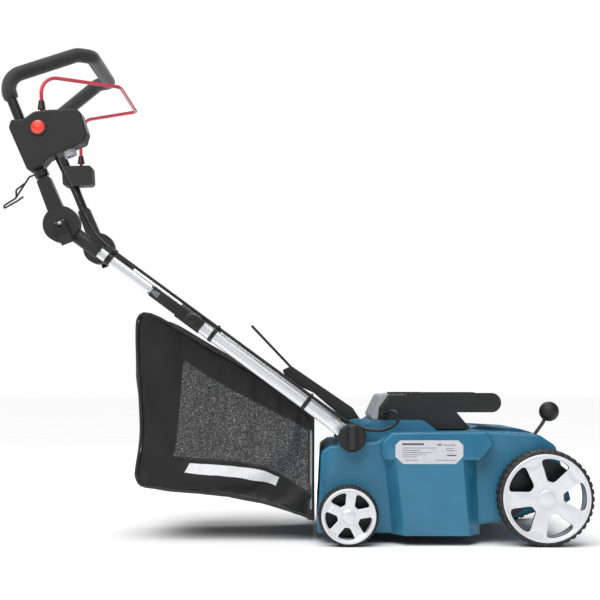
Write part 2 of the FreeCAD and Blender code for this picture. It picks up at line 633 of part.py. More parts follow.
# ---- motor cover, carrying handle -----------------------------------------------------
def cover_profile():
    front = REEL_X + 83
    return outline([(front, DECK_TOP + 2.5, 0), (front - 55, COVER_TOP - 8, 10), (front - 66, COVER_TOP, 8),
                    (REEL_X - 90, COVER_TOP, 8), (REEL_X - 112, COVER_TOP - 29, 8),
                    (REEL_X - 115, DECK_TOP + 22.5, 0), (REEL_X - 20, DECK_TOP + 22.5, 14),
                    (REEL_X + 9, DECK_TOP + 2.5, 6)], 5)


def cover():
    body = slab(cover_profile(), -COVER_HALF_W, COVER_HALF_W)
    top = [e for e in body.Edges if e.CenterOfMass.z > COVER_TOP - 45 and abs(abs(e.CenterOfMass.y)
                                                                             - COVER_HALF_W) < 0.01]
    body = body.makeFillet(4, top)
    pocket_y = COVER_HALF_W - ARM_T
    cavity = slab(outline([(REEL_X + 60, DECK_TOP - 10), (REEL_X + 22, COVER_TOP - 6),
                           (REEL_X - 86, COVER_TOP - 6),
                           (REEL_X - 104, COVER_TOP - 32), (REEL_X - 106, DECK_TOP - 10)], 4),
                  -pocket_y + WALL, pocket_y - WALL)
    body = body.cut(cavity)
    for pocket in both_sides(slab(arm_outline(0), pocket_y, COVER_HALF_W + 5)):
        body = body.cut(pocket)
    ribs = []
    for i in range(RIB_COUNT):
        x = REEL_X - 82 + 9.6 * i
        ribs.append(box(x, x + 4.5, -62, 62, COVER_TOP - 1, COVER_TOP + 4))
        body = body.cut(box(x + 5.6, x + 8.4, -56, 56, COVER_TOP - 10, COVER_TOP + 5))
    save("motor_cover", join([body] + ribs))
    panel = slab(outline([(REEL_X - 115.5, DECK_TOP + 22.5, 0), (REEL_X - 112.5, COVER_TOP - 29, 0),
                          (REEL_X - 91, COVER_TOP, 0), (REEL_X - 108, COVER_TOP - 1, 10),
                          (REEL_X - 130, DECK_TOP + 30, 8), (REEL_X - 128, DECK_TOP + 22.5, 0)], 3),
                          20 - COVER_HALF_W,
                 COVER_HALF_W - 20)
    for i in range(7):
        y = -54 + 18 * i
        panel = panel.cut(box(REEL_X - 140, REEL_X - 112, y - 4, y + 4, DECK_TOP + 34, COVER_TOP - 20))
    save("cover_rear_panel", panel)
    gland_x = REEL_X - 103
    gland_z = DECK_TOP + 35
    gland = spun([(CABLE_R, -COVER_HALF_W), (9, -COVER_HALF_W), (9, -COVER_HALF_W - 5),
                  (6.5, -COVER_HALF_W - 16),
                  (CABLE_R, -COVER_HALF_W - 16)], gland_x, gland_z)
    save("cord_gland", gland)
    arms = []
    for side in (-1, 1):
        y0, y1 = sorted((side * (pocket_y + 0.0), side * COVER_HALF_W))
        arms.append(slab(arm_outline(0.15), y0, y1))
    grip = rod_y(GRIP_X, GRIP_Z, ARM_R - 0.15, -pocket_y - 1, pocket_y + 1)
    flat = box(GRIP_X - 30, GRIP_X + 30, -pocket_y + 12, pocket_y - 12, GRIP_Z + ARM_R - 5,
               GRIP_Z + ARM_R + 5)
    hollow = rod_y(GRIP_X, GRIP_Z, ARM_R - 6, -COVER_HALF_W + 4, COVER_HALF_W - 4)
    save("carry_handle", join(arms + [grip]).cut(flat).cut(hollow))


def arm_outline(less):
    """Side outline of a carrying-handle arm, pulled in a little to sit in its pocket."""
    left = REEL_X - 55 + less
    low = GRIP_Z - ARM_R + less
    high = GRIP_Z + ARM_R - less
    end = GRIP_X + ARM_R - less
    return outline([(left + 7, low, 4), (left, high, 3), (end, high, ARM_R - less - 0.2),
                    (end, low, ARM_R - less - 0.2)], 5)


# ---- handle ---------------------------------------------------------------------------
def lever_post(height, depth):
    """A post with a cross pin for a flip lever: drawn at the pin, +Z outward, +X along the lever."""
    post = box(-4.5, 4.5, -3.6, 3.6, -height - depth, 0)
    return join([post, rod_y(0, 0, 4.5, -3.6, 3.6), rod_y(0, 0, 2, -11.5, 11.5)])


def flip_lever(length, width, lift):
    """A flip lever: forked hub with a pin hole and a paddle lying along the tube."""
    half = width / 2
    hub = rod_y(0, 0, 7, -half, half)
    paddle = Part.Face(outline([(0, -1.0), (length * 0.6, -1.0), (length, lift - 1.0), (length, lift + 4, 2),
                                (length * 0.6, 5), (0, 6.8)], 0)).extrude(vec(0, width, 0))
    paddle.translate(vec(0, -half, 0))
    whole = join([hub, paddle])
    slot = box(-12, 9, -3.6 - GAP, 3.6 + GAP, -12, 12)
    return whole.cut(slot).cut(rod_y(0, 0, 2 + RUN_FIT, -half - 1, half + 1))


def lower_handle():
    y = HANDLE_Y
    flat_w = 30.0
    flat_t = 8.0
    flat_end = 30.0
    neck_end = 62.0
    outer = oval_bar(LOWER_W, LOWER_T, y, neck_end, LOWER_END)
    bore = oval_bar(LOWER_W - 2 * TUBE_WALL, LOWER_T - 2 * TUBE_WALL, y, neck_end + 4, LOWER_END + 5)
    first = oval(flat_w, flat_t, KNOB + ALONG * flat_end + SIDE_Y * y)
    last = oval(LOWER_W, LOWER_T, KNOB + ALONG * neck_end + SIDE_Y * y)
    neck = Part.makeLoft([first, last], True, False)
    half = ACROSS * (flat_w / 2)
    near = KNOB + SIDE_Y * (y - flat_t / 2)
    tab = Part.Wire([Part.LineSegment(near + half, near + half + ALONG * flat_end).toShape(),
                     Part.LineSegment(near + half + ALONG * flat_end,
                                      near - half + ALONG * flat_end).toShape(),
                     Part.LineSegment(near - half + ALONG * flat_end, near - half).toShape(),
                     Part.Arc(near - half, near - ALONG * (flat_w / 2), near + half).toShape()])
    tab = Part.Face(tab).extrude(SIDE_Y * flat_t)
    tube = join([tab, neck, outer]).cut(bore)
    tube = tube.cut(rod_y(KNOB_X, KNOB_Z, BOLT_R + RUN_FIT, y - 30, y + 30))
    save("lower_tubes", tube, mirrored(tube))
    collar_w = LOWER_W + 4
    collar_t = LOWER_T + 7
    sleeve = oval_bar(collar_w, collar_t, y, LOWER_END - 52, LOWER_END + 10)
    sleeve = sleeve.cut(oval_bar(LOWER_W, LOWER_T, y, LOWER_END - 60, LOWER_END))
    sleeve = sleeve.cut(oval_bar(LOWER_W - 2, LOWER_T - 2, y, LOWER_END - 1, LOWER_END + 20))
    pin = KNOB + ALONG * CLAMP_S + SIDE_Y * (y + collar_t / 2 + 8)
    post = placed(lever_post(8, 2), pin, ALONG, SIDE_Y)
    sleeve = join([sleeve, post])
    save("tube_clamps", sleeve, mirrored(sleeve))
    lever = placed(flip_lever(104, 24, -5), pin, ALONG, SIDE_Y)
    save("clamp_lever_left", lever)
    save("clamp_lever_right", mirrored(lever))


def deck_knobs():
    inner = HANDLE_Y + 4 + GAP
    y1 = inner + 20
    body = spun([(BOLT_R + RUN_FIT, inner), (KNOB_R - 8, inner), (KNOB_R, inner + 5), (KNOB_R, y1 - 6),
                 (KNOB_R - 4, y1 - 2), (BOLT_R + RUN_FIT, y1 - 2)], KNOB_X, KNOB_Z)
    bar = box(KNOB_X - 8, KNOB_X + 8, y1 - 6, y1 + 8, KNOB_Z - KNOB_R + 4, KNOB_Z + KNOB_R - 4)
    bar = bar.makeFillet(3, bar.Edges)
    bar = bar.cut(rod_y(KNOB_X, KNOB_Z, BOLT_R + RUN_FIT, y1 - 10, y1 + 2.5))
    for i in range(16):
        angle = 2 * math.pi * i / 16
        body = body.cut(rod_y(KNOB_X + (KNOB_R + 1.5) * math.cos(angle),
                              KNOB_Z + (KNOB_R + 1.5) * math.sin(angle),
                              3, inner - 1, y1))
    knob = join([body, bar])
    save("deck_knob_left", knob)
    save("deck_knob_right", mirrored(knob))
    bolt = rod_y(KNOB_X, KNOB_Z, BOLT_R, FLAP_HALF_W + 10, y1 + 2)
    shoulder = rod_y(KNOB_X, KNOB_Z, 11, DECK_HALF_W, HANDLE_Y - 4 - GAP)
    bolt = join([bolt, shoulder])
    screws = []
    for x in (REEL_X - 56, REEL_X + 42):
        for z in (50, 154):
            head = rod_y(x, z, 4, PANEL_HALF_W + 4, PANEL_HALF_W + 6)
            screws.append(head)
    save("deck_fasteners", bolt, mirrored(bolt), *screws)


def sliding_handle():
    y = HANDLE_Y
    width = LOWER_W - 2 * TUBE_WALL - 2 * GAP
    thick = LOWER_T - 2 * TUBE_WALL - 2 * GAP
    start = LOWER_END - 145
    end = SOCKET_S + 34
    tube = oval_bar(width, thick, y, start, end)
    tube = tube.cut(oval_bar(width - 2 * TUBE_WALL, thick - 2 * TUBE_WALL, y, start - 1, end + 1))
    save("upper_tubes", tube, mirrored(tube))
    half = 13.0
    arm = oval_bar(31, 2 * half, y, SOCKET_S, PIVOT_S - 10)
    arm = arm.cut(oval_bar(width, thick, y, SOCKET_S - 5, end))
    disc = rod_y(PIVOT.x, PIVOT.z, DISC_R, y - half - 2, y)
    arm = arm.cut(rod_y(PIVOT.x, PIVOT.z, DISC_R + GAP, y + 0.2, y + 40))
    socket = join([arm, disc]).cut(rod_y(PIVOT.x, PIVOT.z, BOLT_R, y - 40, y + 40))
    save("pivot_sockets", socket, mirrored(socket))
    outer_face = y + half + 4
    pin = PIVOT + SIDE_Y * (outer_face + 8)
    down = vec(0.37, 0, -0.929).normalize()
    post = placed(lever_post(8, 0), pin, down, SIDE_Y)
    bolt = join([rod_y(PIVOT.x, PIVOT.z, BOLT_R, y - half - 2, outer_face), post])
    nut = rod_y(PIVOT.x, PIVOT.z, 9, y - half - 7, y - half - 2)
    whole = join([bolt, nut])
    save("pivot_bolts", whole, mirrored(whole))
    lever = placed(flip_lever(46, 26, -4), pin, down, SIDE_Y)
    save("pivot_lever_left", lever)
    save("pivot_lever_right", mirrored(lever))


def upper_handle():
    y = HANDLE_Y
    half = 13.0
    disc = rod_y(PIVOT.x, PIVOT.z, DISC_R, y + GAP, y + half + 3.6)
    foot = PIVOT + UPWARD * 8
    tip = PIVOT + UPWARD * 107
    side = vec(UPWARD.z, 0, -UPWARD.x)
    corners = [foot - side * 17, foot + side * 17, tip + side * 14.5, tip - side * 14.5]
    arm = slab(outline([(c.x, c.z) for c in corners], 5), y - half, y + half)
    arm = arm.cut(rod_y(PIVOT.x, PIVOT.z, DISC_R + GAP, y - 40, y + 0.2))
    start = PIVOT + UPWARD * 44 + SIDE_Y * y
    stop = PIVOT + UPWARD * 140 + SIDE_Y * y
    arm = join([arm, disc]).cut(rod(start, stop, ROUND_R))
    arm = arm.cut(rod_y(PIVOT.x, PIVOT.z, BOLT_R + RUN_FIT, y - 40, y + 40))
    save("pivot_arms", arm, mirrored(arm))
    save("handlebar", loop(start, ROUND_R).cut(loop(start - UPWARD * 2, ROUND_R - ROUND_WALL)))
    save("foam_grip", foam())
    hook()


def foam():
    """Foam sleeve over the loop's grip."""
    start = PIVOT + UPWARD * (LOOP_RISE - 48) + SIDE_Y * HANDLE_Y
    return loop(start, FOAM_R).cut(loop(start - UPWARD * 2, ROUND_R))


def loop(start, radius):
    """The handle loop from a point on the left tube, over the grip, to the same point on the right."""
    corner = PIVOT + UPWARD * LOOP_RISE
    points = [start, vec(corner.x, HANDLE_Y, corner.z), vec(corner.x + 140, LOOP_HALF + 18, corner.z + 78),
              vec(corner.x + 170, LOOP_HALF, corner.z + 78)]
    other = [vec(p.x, -p.y, p.z) for p in reversed(points)]
    return swept(points + other, [45, 40, 22, 22, 40, 45], radius)


def hook():
    """Wire hook that takes the strain off the extension lead; its collar turns round the right tube."""
    y = -HANDLE_Y
    base = PIVOT + UPWARD * HOOK_T + SIDE_Y * y
    collar = rod(base, base + UPWARD * 13, ROUND_R + 4.5)
    collar = collar.cut(rod(base - UPWARD * 5, base + UPWARD * 20, ROUND_R + RUN_FIT))
    tip = vec(base.x - HOOK_REACH + 2, y, base.z - 62)
    a = base + UPWARD * 5 + vec(-ROUND_R - 3, 0, 0)
    runs = [a, a + vec(-14, 4, -4), vec(tip.x + 24, y + 4, tip.z + 16), vec(tip.x, y + 4, tip.z + 1),
            vec(tip.x + 3, y - 7, tip.z - 7), vec(tip.x + 30, y - 8, tip.z + 8),
            vec(tip.x + 44, y - 8, tip.z + 18)]
    wire = swept(runs, [6, 12, 4, 4, 12], 2.0)
    finger = swept([vec(tip.x + 26, y + 4, tip.z + 17), vec(tip.x + 25, y + 4, tip.z + 34),
                    vec(tip.x + 46, y + 3, tip.z + 50)], [5], 2.0)
    save("cord_hook", join([collar, wire, finger]))


# ---- switch box, bail -----------------------------------------------------------------
def switch_gear():
    box_wire = outline([on_arm(233.5, -25.5, 12), on_arm(247.5, -14.5, 7), on_arm(238.5, 10, 14),
                        on_arm(245, 36.5, 14), on_arm(237, 66, 20), on_arm(213, 129.5, 18),
                        on_arm(160.5, 125, 12), on_arm(142.5, 111, 7), on_arm(142.5, 59, 14),
                        on_arm(140, 28, 12), on_arm(130, 8.5, 10), on_arm(128.5, -22.5, 10)], 8)
    body = slab(box_wire, -BOX_OUT, -BOX_IN)
    rims = [-BOX_OUT, -BOX_IN]
    edges = [e for e in body.Edges if min(abs(e.CenterOfMass.y - y) for y in rims) < 0.01]
    body = body.makeFillet(4, edges)
    body = body.cut(slab(inset(box_wire, WALL), -BOX_OUT + WALL, -BOX_IN - WALL))
    low = PIVOT + UPWARD * 90 - SIDE_Y * HANDLE_Y
    high = PIVOT + UPWARD * 280 - SIDE_Y * HANDLE_Y
    body = body.cut(rod(low, high, ROUND_R))
    body = body.cut(rod_y(BUTTON.x, BUTTON.z, BUTTON_R + GAP, -BOX_OUT - 5, -BOX_OUT + 10))
    bezel = ring_y(BUTTON.x, BUTTON.z, BUTTON_R + 4, BUTTON_R + GAP, -BOX_OUT - 2, -BOX_OUT + 3)
    slot = box(BAIL.x - 34, BAIL.x + 9, -HANDLE_Y - 4, -HANDLE_Y + 14, BAIL.z, BAIL.z + 68)
    body = join([body.cut(slot), bezel])
    boss = ring_y(BAIL.x, BAIL.z, BAIL_R + 4, BAIL_R + RUN_FIT, -HANDLE_Y - 14, -HANDLE_Y - 5)
    web = box(BAIL.x - 3, BAIL.x + 3, -HANDLE_Y - 14, -HANDLE_Y - 5, BAIL.z - 54, BAIL.z - BAIL_R - 2)
    body = join([body, boss, web])
    save("switch_box", max(body.Solids, key=lambda s: s.Volume))
    button = spun([(0, -BOX_OUT - 7), (BUTTON_R - 4, -BOX_OUT - 6), (BUTTON_R, -BOX_OUT - 2.5),
                   (BUTTON_R, -BOX_OUT + 6), (0, -BOX_OUT + 6)], BUTTON.x, BUTTON.z)
    save("start_button", button)
    bracket_wire = outline([on_arm(226.5, -8, 9), on_arm(199, 63, 9), on_arm(152, 47, 9),
                            on_arm(178, -23.5, 9)], 9)
    bracket = slab(bracket_wire, BOX_IN + 2, BOX_OUT - 4)
    bracket = bracket.makeFillet(4, [e for e in bracket.Edges if abs(e.CenterOfMass.y - BOX_OUT + 4) < 0.01])
    bracket = bracket.cut(rod(low + SIDE_Y * 2 * HANDLE_Y, high + SIDE_Y * 2 * HANDLE_Y, ROUND_R))
    bracket = bracket.cut(box(BAIL.x - 30, BAIL.x + 9, HANDLE_Y - 14, HANDLE_Y + 2, BAIL.z - 9, BAIL.z + 68))
    bracket = bracket.cut(rod_y(BAIL.x, BAIL.z, BAIL_R + RUN_FIT, HANDLE_Y - 5, HANDLE_Y + 14))
    save("bail_bracket", bracket)
    away = UPWARD * -1
    mid = PIVOT + UPWARD * INLET_UP + AHEAD * INLET_AHEAD - SIDE_Y * HANDLE_Y
    socket = rod(mid, mid + away * 13, 14).cut(rod(mid + away * 3, mid + away * 15, 11))
    pins = [rod(mid + away * 2 + SIDE_Y * y, mid + away * 11 + SIDE_Y * y, 2) for y in (-5, 5)]
    trimmed = join([socket] + pins).cut(slab(box_wire, -BOX_OUT, -BOX_IN))
    save("power_inlet", max(trimmed.Solids, key=lambda s: s.Volume))
    bail()


def bail():
    leg_y = HANDLE_Y - 6
    top = BAIL + vec(0, 0, BAIL_RISE)
    points = [BAIL + SIDE_Y * (HANDLE_Y + 12), BAIL + SIDE_Y * leg_y, top + vec(-BAIL_LEAN, leg_y, 0),
              top + vec(BAIL_REACH, LOOP_HALF + 6, 0)]
    other = [vec(p.x, -p.y, p.z) for p in reversed(points)]
    save("bail", swept(points + other, [7, 36, 18, 18, 36, 7], BAIL_R))
    boots = []
    boot_h = 19.0
    for y, rise in ((-leg_y, 53), (leg_y, 17)):

        def on_leg(up):
            return BAIL + vec(-BAIL_LEAN / BAIL_RISE * up, y, up)
        cone = Part.makeCone(9, 6, boot_h, on_leg(rise), on_leg(rise + boot_h) - on_leg(rise))
        boots.append(cone.cut(rod(on_leg(rise - 5), on_leg(rise + boot_h + 5), BAIL_R)))
    save("bail_boots", *boots)


# ---- bag and flap ---------------------------------------------------------------------
def bag_outline():
    rear_low = REAR_X - 436
    return outline([(rear_low, 114, 14), (rear_low - 18, 140, 14), (rear_low - 6, 220, 40),
                    under_tube(508, 90, 20), under_tube(521.5, 50, 12), under_tube(503, 38, 12),
                    under_tube(137, 34, 30),
                    (BAG_FRONT, REAR_TOP + 55, 6), (BAG_FRONT, DECK_BOTTOM + 21, 6), (BAG_FRONT - 82, 76, 30),
                    (REAR_X - 292, 102, 40)], 10)


def bag():
    outer = slab(bag_outline(), -BAG_HALF_W, BAG_HALF_W)
    inner = slab(inset(bag_outline(), BAG_WALL), -BAG_HALF_W + BAG_WALL, BAG_HALF_W - BAG_WALL)
    mouth = box(BAG_FRONT - 20, BAG_FRONT + 10, 38 - BAG_HALF_W, BAG_HALF_W - 38, 64, REAR_TOP + 33)
    save("bag", outer.cut(inner).cut(mouth))
    x = BAG_FRONT - BAG_WALL - 5
    half = BAG_HALF_W - BAG_WALL - 6
    high = REAR_TOP + 39
    corners = [vec(x, 0, high), vec(x, half, high), vec(x, half, 58), vec(x, -half, 58), vec(x, -half, high),
               vec(x, -1, high)]
    save("bag_frame", swept(corners, [16, 16, 16, 16], 4.0))


def flap():
    def near_pin(back, up, corner=0):
        return FLAP_PIN_X - back, FLAP_PIN_Z + up, corner
    top = [near_pin(-8, 6, 3), near_pin(10, 34, 10), near_pin(117, 107, 30), near_pin(142, 124, 5),
           near_pin(161, 115, 3)]
    low = [near_pin(151, 92, 3), near_pin(94, 66, 20), near_pin(26, 8, 8), near_pin(4, -8, 3)]
    shape = slab(outline(top + low, 4), -FLAP_HALF_W, FLAP_HALF_W)
    under = [near_pin(14, 28, 8), near_pin(119, 101, 20), near_pin(174, 135), near_pin(174, 50),
             near_pin(26, -20), near_pin(14, -20)]
    shape = shape.cut(slab(outline(under, 0), -FLAP_HALF_W + WALL, FLAP_HALF_W - WALL))
    barrels = [rod_y(FLAP_PIN_X, FLAP_PIN_Z, 8, FLAP_HALF_W - 44, FLAP_HALF_W),
               rod_y(FLAP_PIN_X, FLAP_PIN_Z, 8, -FLAP_HALF_W, -FLAP_HALF_W + 44)]
    whole = join([shape] + barrels).cut(rod_y(FLAP_PIN_X, FLAP_PIN_Z, FLAP_PIN_R + RUN_FIT, -THROUGH,
                                              THROUGH))
    rod_foot = vec(FLAP_PIN_X - 134, 34 - FLAP_HALF_W, FLAP_PIN_Z + 112)
    lift_rod = rod(rod_foot, rod_foot + vec(-95, 0, 100), 2.75)
    save("flap_rod", lift_rod)
    whole = whole.cut(lift_rod)
    save("rear_flap", max(whole.Solids, key=lambda s: s.Volume))
    save("flap_pin", rod_y(FLAP_PIN_X, FLAP_PIN_Z, FLAP_PIN_R, -DECK_HALF_W + 5, DECK_HALF_W - 5))


# ---- cable ----------------------------------------------------------------------------
def cables():
    def on_tube(s, y):
        return KNOB + ALONG * s + ACROSS * CABLE_LIFT + vec(0, y, 0)
    y = -HANDLE_Y + 6
    gland = vec(REEL_X - 103, -COVER_HALF_W, DECK_TOP + 35)
    loop_points = [gland, gland + vec(0, -26, 0), gland + vec(12, -38, 8), gland + vec(26, -46, 4),
                   gland + vec(28, -47, -14), gland + vec(10, -47, -29), gland + vec(-20, -48, -36),
                   on_tube(10, y), on_tube(82, y)]
    save("cable_deck", cable(loop_points, CABLE_R, "cable_deck"))
    save("cable_lower", rod(on_tube(82, y), on_tube(640, y), CABLE_R))
    end = PIVOT + UPWARD * 161 + AHEAD * 40 + SIDE_Y * y
    rise = [on_tube(640, y), on_tube(690, y), PIVOT + vec(44, y, 24), PIVOT + vec(20, y, 76),
            PIVOT + vec(-3, y, 118),
            end]
    save("cable_top", cable(rise, CABLE_R, "cable_top"))


wheels()
chassis()
reel()
drive()
axles()
deck()
cover()
lower_handle()
deck_knobs()
sliding_handle()
upper_handle()
switch_gear()
bag()
flap()
cables()
print("nodes", len(os.listdir("parts")), "origin moved", round(origin_x(), 3))
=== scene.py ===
import json
import math

import bmesh
import bpy
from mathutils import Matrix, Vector, noise


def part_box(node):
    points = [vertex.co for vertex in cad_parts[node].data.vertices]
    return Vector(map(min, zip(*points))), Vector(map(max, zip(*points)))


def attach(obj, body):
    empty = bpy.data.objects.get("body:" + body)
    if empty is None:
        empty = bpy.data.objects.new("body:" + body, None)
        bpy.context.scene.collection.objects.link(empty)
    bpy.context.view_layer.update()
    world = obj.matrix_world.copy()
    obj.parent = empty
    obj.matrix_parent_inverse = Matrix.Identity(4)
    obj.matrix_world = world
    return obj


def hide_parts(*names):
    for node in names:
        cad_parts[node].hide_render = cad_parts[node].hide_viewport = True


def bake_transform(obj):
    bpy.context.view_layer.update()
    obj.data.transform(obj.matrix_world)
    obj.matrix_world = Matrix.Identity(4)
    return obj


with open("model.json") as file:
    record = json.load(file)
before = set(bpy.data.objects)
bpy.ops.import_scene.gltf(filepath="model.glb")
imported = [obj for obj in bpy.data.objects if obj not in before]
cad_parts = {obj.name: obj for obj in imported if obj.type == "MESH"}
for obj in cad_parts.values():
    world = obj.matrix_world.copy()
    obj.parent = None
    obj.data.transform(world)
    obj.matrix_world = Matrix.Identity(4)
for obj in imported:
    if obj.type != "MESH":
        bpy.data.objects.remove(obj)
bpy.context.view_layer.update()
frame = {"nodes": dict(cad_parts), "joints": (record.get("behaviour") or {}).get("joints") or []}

MM = 0.001
scene = bpy.context.scene
nodes = frame["nodes"]
HANDS = (("left", 1), ("right", -1))


# ---- places taken from the frame ------------------------------------------------------
def corners(node):
    return [Vector(c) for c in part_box(node)]


def joint_place(name):
    found = [j for j in frame["joints"] if j["name"] == name][0]
    return Vector(found["pos_m"])


KNOB = joint_place("handle_fold")
PIVOT = joint_place("upper_fold")
ALONG = (PIVOT - KNOB).normalized()              # up the lower handle
ACROSS = Vector((ALONG.z, 0, -ALONG.x))          # square to the tube, in its plane, upward
UPWARD = Vector([j for j in frame["joints"] if j["name"] == "hook_swing"][0]["axis"])     # up the loop
HANDLE_Y_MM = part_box("lower_tubes")[1].y / MM - 10.5
CABLE_R = 3.5                                    # mm
CABLE_LIFT = 19.5                                # cable's middle above the tube's, mm
CABLE_IN = 6.0                                   # and inward of it
LOWER_TUBE = (27, 21)                            # the tubes' sections, width and thickness in mm
UPPER_TUBE = (23.2, 17.2)
OVAL = 3.2                                       # power of the superellipse of both sections


# ---- camera ---------------------------------------------------------------------------
def camera():
    """A long lens at the machine's right side, a little above the ground and tilted up."""
    data = bpy.data.cameras.new("camera")
    data.lens = 72.24
    data.sensor_width = 36
    shot = bpy.data.objects.new("camera", data)
    shot.location = (0.03796, -2.775, 0.3328)
    shot.rotation_euler = (math.radians(90 + 4.04), 0, math.radians(0.47))
    scene.collection.objects.link(shot)
    scene.camera = shot


camera()


# ---- material helpers -----------------------------------------------------------------
def colour(hex_text):
    """An sRGB hex value as linear RGBA."""
    parts = [int(hex_text[i:i + 2], 16) / 255 for i in (1, 3, 5)]
    return tuple(c / 12.92 if c <= 0.04045 else ((c + 0.055) / 1.055) ** 2.4 for c in parts) + (1,)


def add(tree, kind, sockets=None, **settings):
    """Adds a node: settings are its attributes, sockets are values or the outputs that feed it."""
    made = tree.nodes.new(kind)
    for name, value in settings.items():
        setattr(made, name, value)
    for key, value in (sockets or {}).items():
        if isinstance(value, bpy.types.NodeSocket):
            tree.links.new(value, made.inputs[key])
        else:
            made.inputs[key].default_value = value
    return made


def grain(tree, place, size_mm, detail=3.0, stretch=(1, 1, 1), rough=0.55):
    """Noise in the piece's own coordinates whose grains are size_mm across."""
    scaled = add(tree, "ShaderNodeMapping", {"Vector": place, "Scale": stretch})
    made = add(tree, "ShaderNodeTexNoise", {"Vector": scaled.outputs[0], "Scale": 1 / (size_mm * MM),
                                             "Detail": detail, "Roughness": rough})
    return made.outputs["Fac"]


def between(tree, pattern, low, high, left, right):
    """A colour that goes from left to right as the pattern goes from low to high."""
    share = add(tree, "ShaderNodeMapRange", {"Value": pattern, "From Min": low, "From Max": high})
    mixed = add(tree, "ShaderNodeMix", {0: share.outputs[0], 6: colour(left), 7: colour(right)},
                data_type="RGBA")
    return mixed.outputs[2]


def surface(name, tone=None, rough=None, skin=None, **shader):
    """A material with a mottled tone (grain mm, detail, low, high, two colours), an even roughness and a
    skin (grain mm, detail, depth mm, strength); each may be left out and added by hand."""
    made = bpy.data.materials.new(name)
    made.use_nodes = True
    tree = made.node_tree
    principled = tree.nodes["Principled BSDF"]
    for key, value in shader.items():
        principled.inputs[key.replace("_", " ")].default_value = value
    place = add(tree, "ShaderNodeTexCoord").outputs["Object"]
    if tone:
        mottle = between(tree, grain(tree, place, *tone[:2]), *tone[2:])
        tree.links.new(mottle, principled.inputs["Base Color"])
    if rough is not None:
        principled.inputs["Roughness"].default_value = rough
    if skin:
        grain_mm, detail, depth_mm, strength = skin
        raised = add(tree, "ShaderNodeBump", {"Height": grain(tree, place, grain_mm, detail),
                                              "Distance": depth_mm * MM, "Strength": strength})
        tree.links.new(raised.outputs[0], principled.inputs["Normal"])
    return made, tree, principled, place


def moulded(name, base, shade, skin, rough, pale, edge_highlight, **shader):
    """A moulded plastic: its colour drifts slowly, its eroded skin is fine, its edges carry a painted paler
    highlight.
    """
    made, tree, principled, place = surface(name, skin=(*skin, 0.6), IOR=1.5, **shader)
    # painted highlight: the sharpest convex edges, found by pointiness, are mixed toward the pale colour
    point = add(tree, "ShaderNodeNewGeometry").outputs["Pointiness"]
    edge_highlight_mask = add(tree, "ShaderNodeMapRange", {"Value": point, "From Min": 0.52, "From Max": 0.60,
                                            "To Min": 0.0, "To Max": edge_highlight})
    tone = between(tree, grain(tree, place, 60, 2.0), 0.35, 0.65, shade, base)
    mixed = add(tree, "ShaderNodeMix", {0: edge_highlight_mask.outputs[0], 6: tone, 7: colour(pale)}, data_type="RGBA")
    tree.links.new(mixed.outputs[2], principled.inputs["Base Color"])
    shine = add(tree, "ShaderNodeMapRange", {"Value": grain(tree, place, 25, 4.0), "From Min": 0.3,
                                             "From Max": 0.7, "To Min": rough - 0.05, "To Max": rough + 0.06})
    tree.links.new(shine.outputs[0], principled.inputs["Roughness"])
    return made


def metal(name, low, high, grain_mm, rough, spread, stretch=(1, 1, 1), turn=0.0, bumpy=True):
    """Bare metal whose grain, turned about Y and stretched, shows in its tone, its shine and its surface."""
    made, tree, principled, place = surface(name, Metallic=1.0)
    turned = add(tree, "ShaderNodeMapping", {"Vector": place, "Rotation": (0, turn, 0)})
    marks = grain(tree, turned.outputs[0], grain_mm, 4.0 if bumpy else 2.0, stretch)
    tree.links.new(between(tree, marks, 0.3, 0.7, low, high), principled.inputs["Base Color"])
    shine = add(tree, "ShaderNodeMapRange", {"Value": marks, "To Min": rough - spread,
                                             "To Max": rough + spread})
    tree.links.new(shine.outputs[0], principled.inputs["Roughness"])
    if bumpy:
        raised = add(tree, "ShaderNodeBump", {"Height": marks, "Distance": 0.02 * MM, "Strength": 0.4})
        tree.links.new(raised.outputs[0], principled.inputs["Normal"])
    return made


def powder_coat(name, base, shade, rough, coat=0.0):
    """Powder-coated steel: an even colour with a faint orange-peel skin."""
    return surface(name, (30, 3.0, 0.35, 0.65, shade, base), rough, (1.6, 2.0, 0.04, 0.5), IOR=1.5,
                   Coat_Weight=coat, Coat_Roughness=0.1)[0]


def silver_rim_paint():
    """Silver-white painted wheel rims: smooth, bright, a faint flake under a clear coat."""
    made, tree, principled, place = surface("silver_rim_paint", (0.6, 1.0, 0.3, 0.7, "#CFD0D4", "#E4E5E8"),
                                            None, (0.6, 1.0, 0.01, 0.3), IOR=1.5, Metallic=0.25,
                                            Coat_Weight=0.5, Coat_Roughness=0.12)
    shine = add(tree, "ShaderNodeMapRange", {"Value": grain(tree, place, 18, 3.0), "To Min": 0.26,
                                             "To Max": 0.38})
    tree.links.new(shine.outputs[0], principled.inputs["Roughness"])
    return made


def grip_foam():
    """Black closed-cell grip foam: soft sheen, cells about a millimetre across."""
    made, tree, principled, place = surface("grip_foam", (20, 3.0, 0.35, 0.7, "#101011", "#1A1A1B"), 0.72,
                                            IOR=1.45, Sheen_Weight=0.25, Sheen_Roughness=0.6)
    cells = add(tree, "ShaderNodeTexVoronoi", {"Vector": place, "Scale": 1 / (1.3 * MM)})
    raised = add(tree, "ShaderNodeBump", {"Height": cells.outputs["Distance"], "Distance": 0.18 * MM,
                                          "Strength": 0.5})
    tree.links.new(raised.outputs[0], principled.inputs["Normal"])
    return made


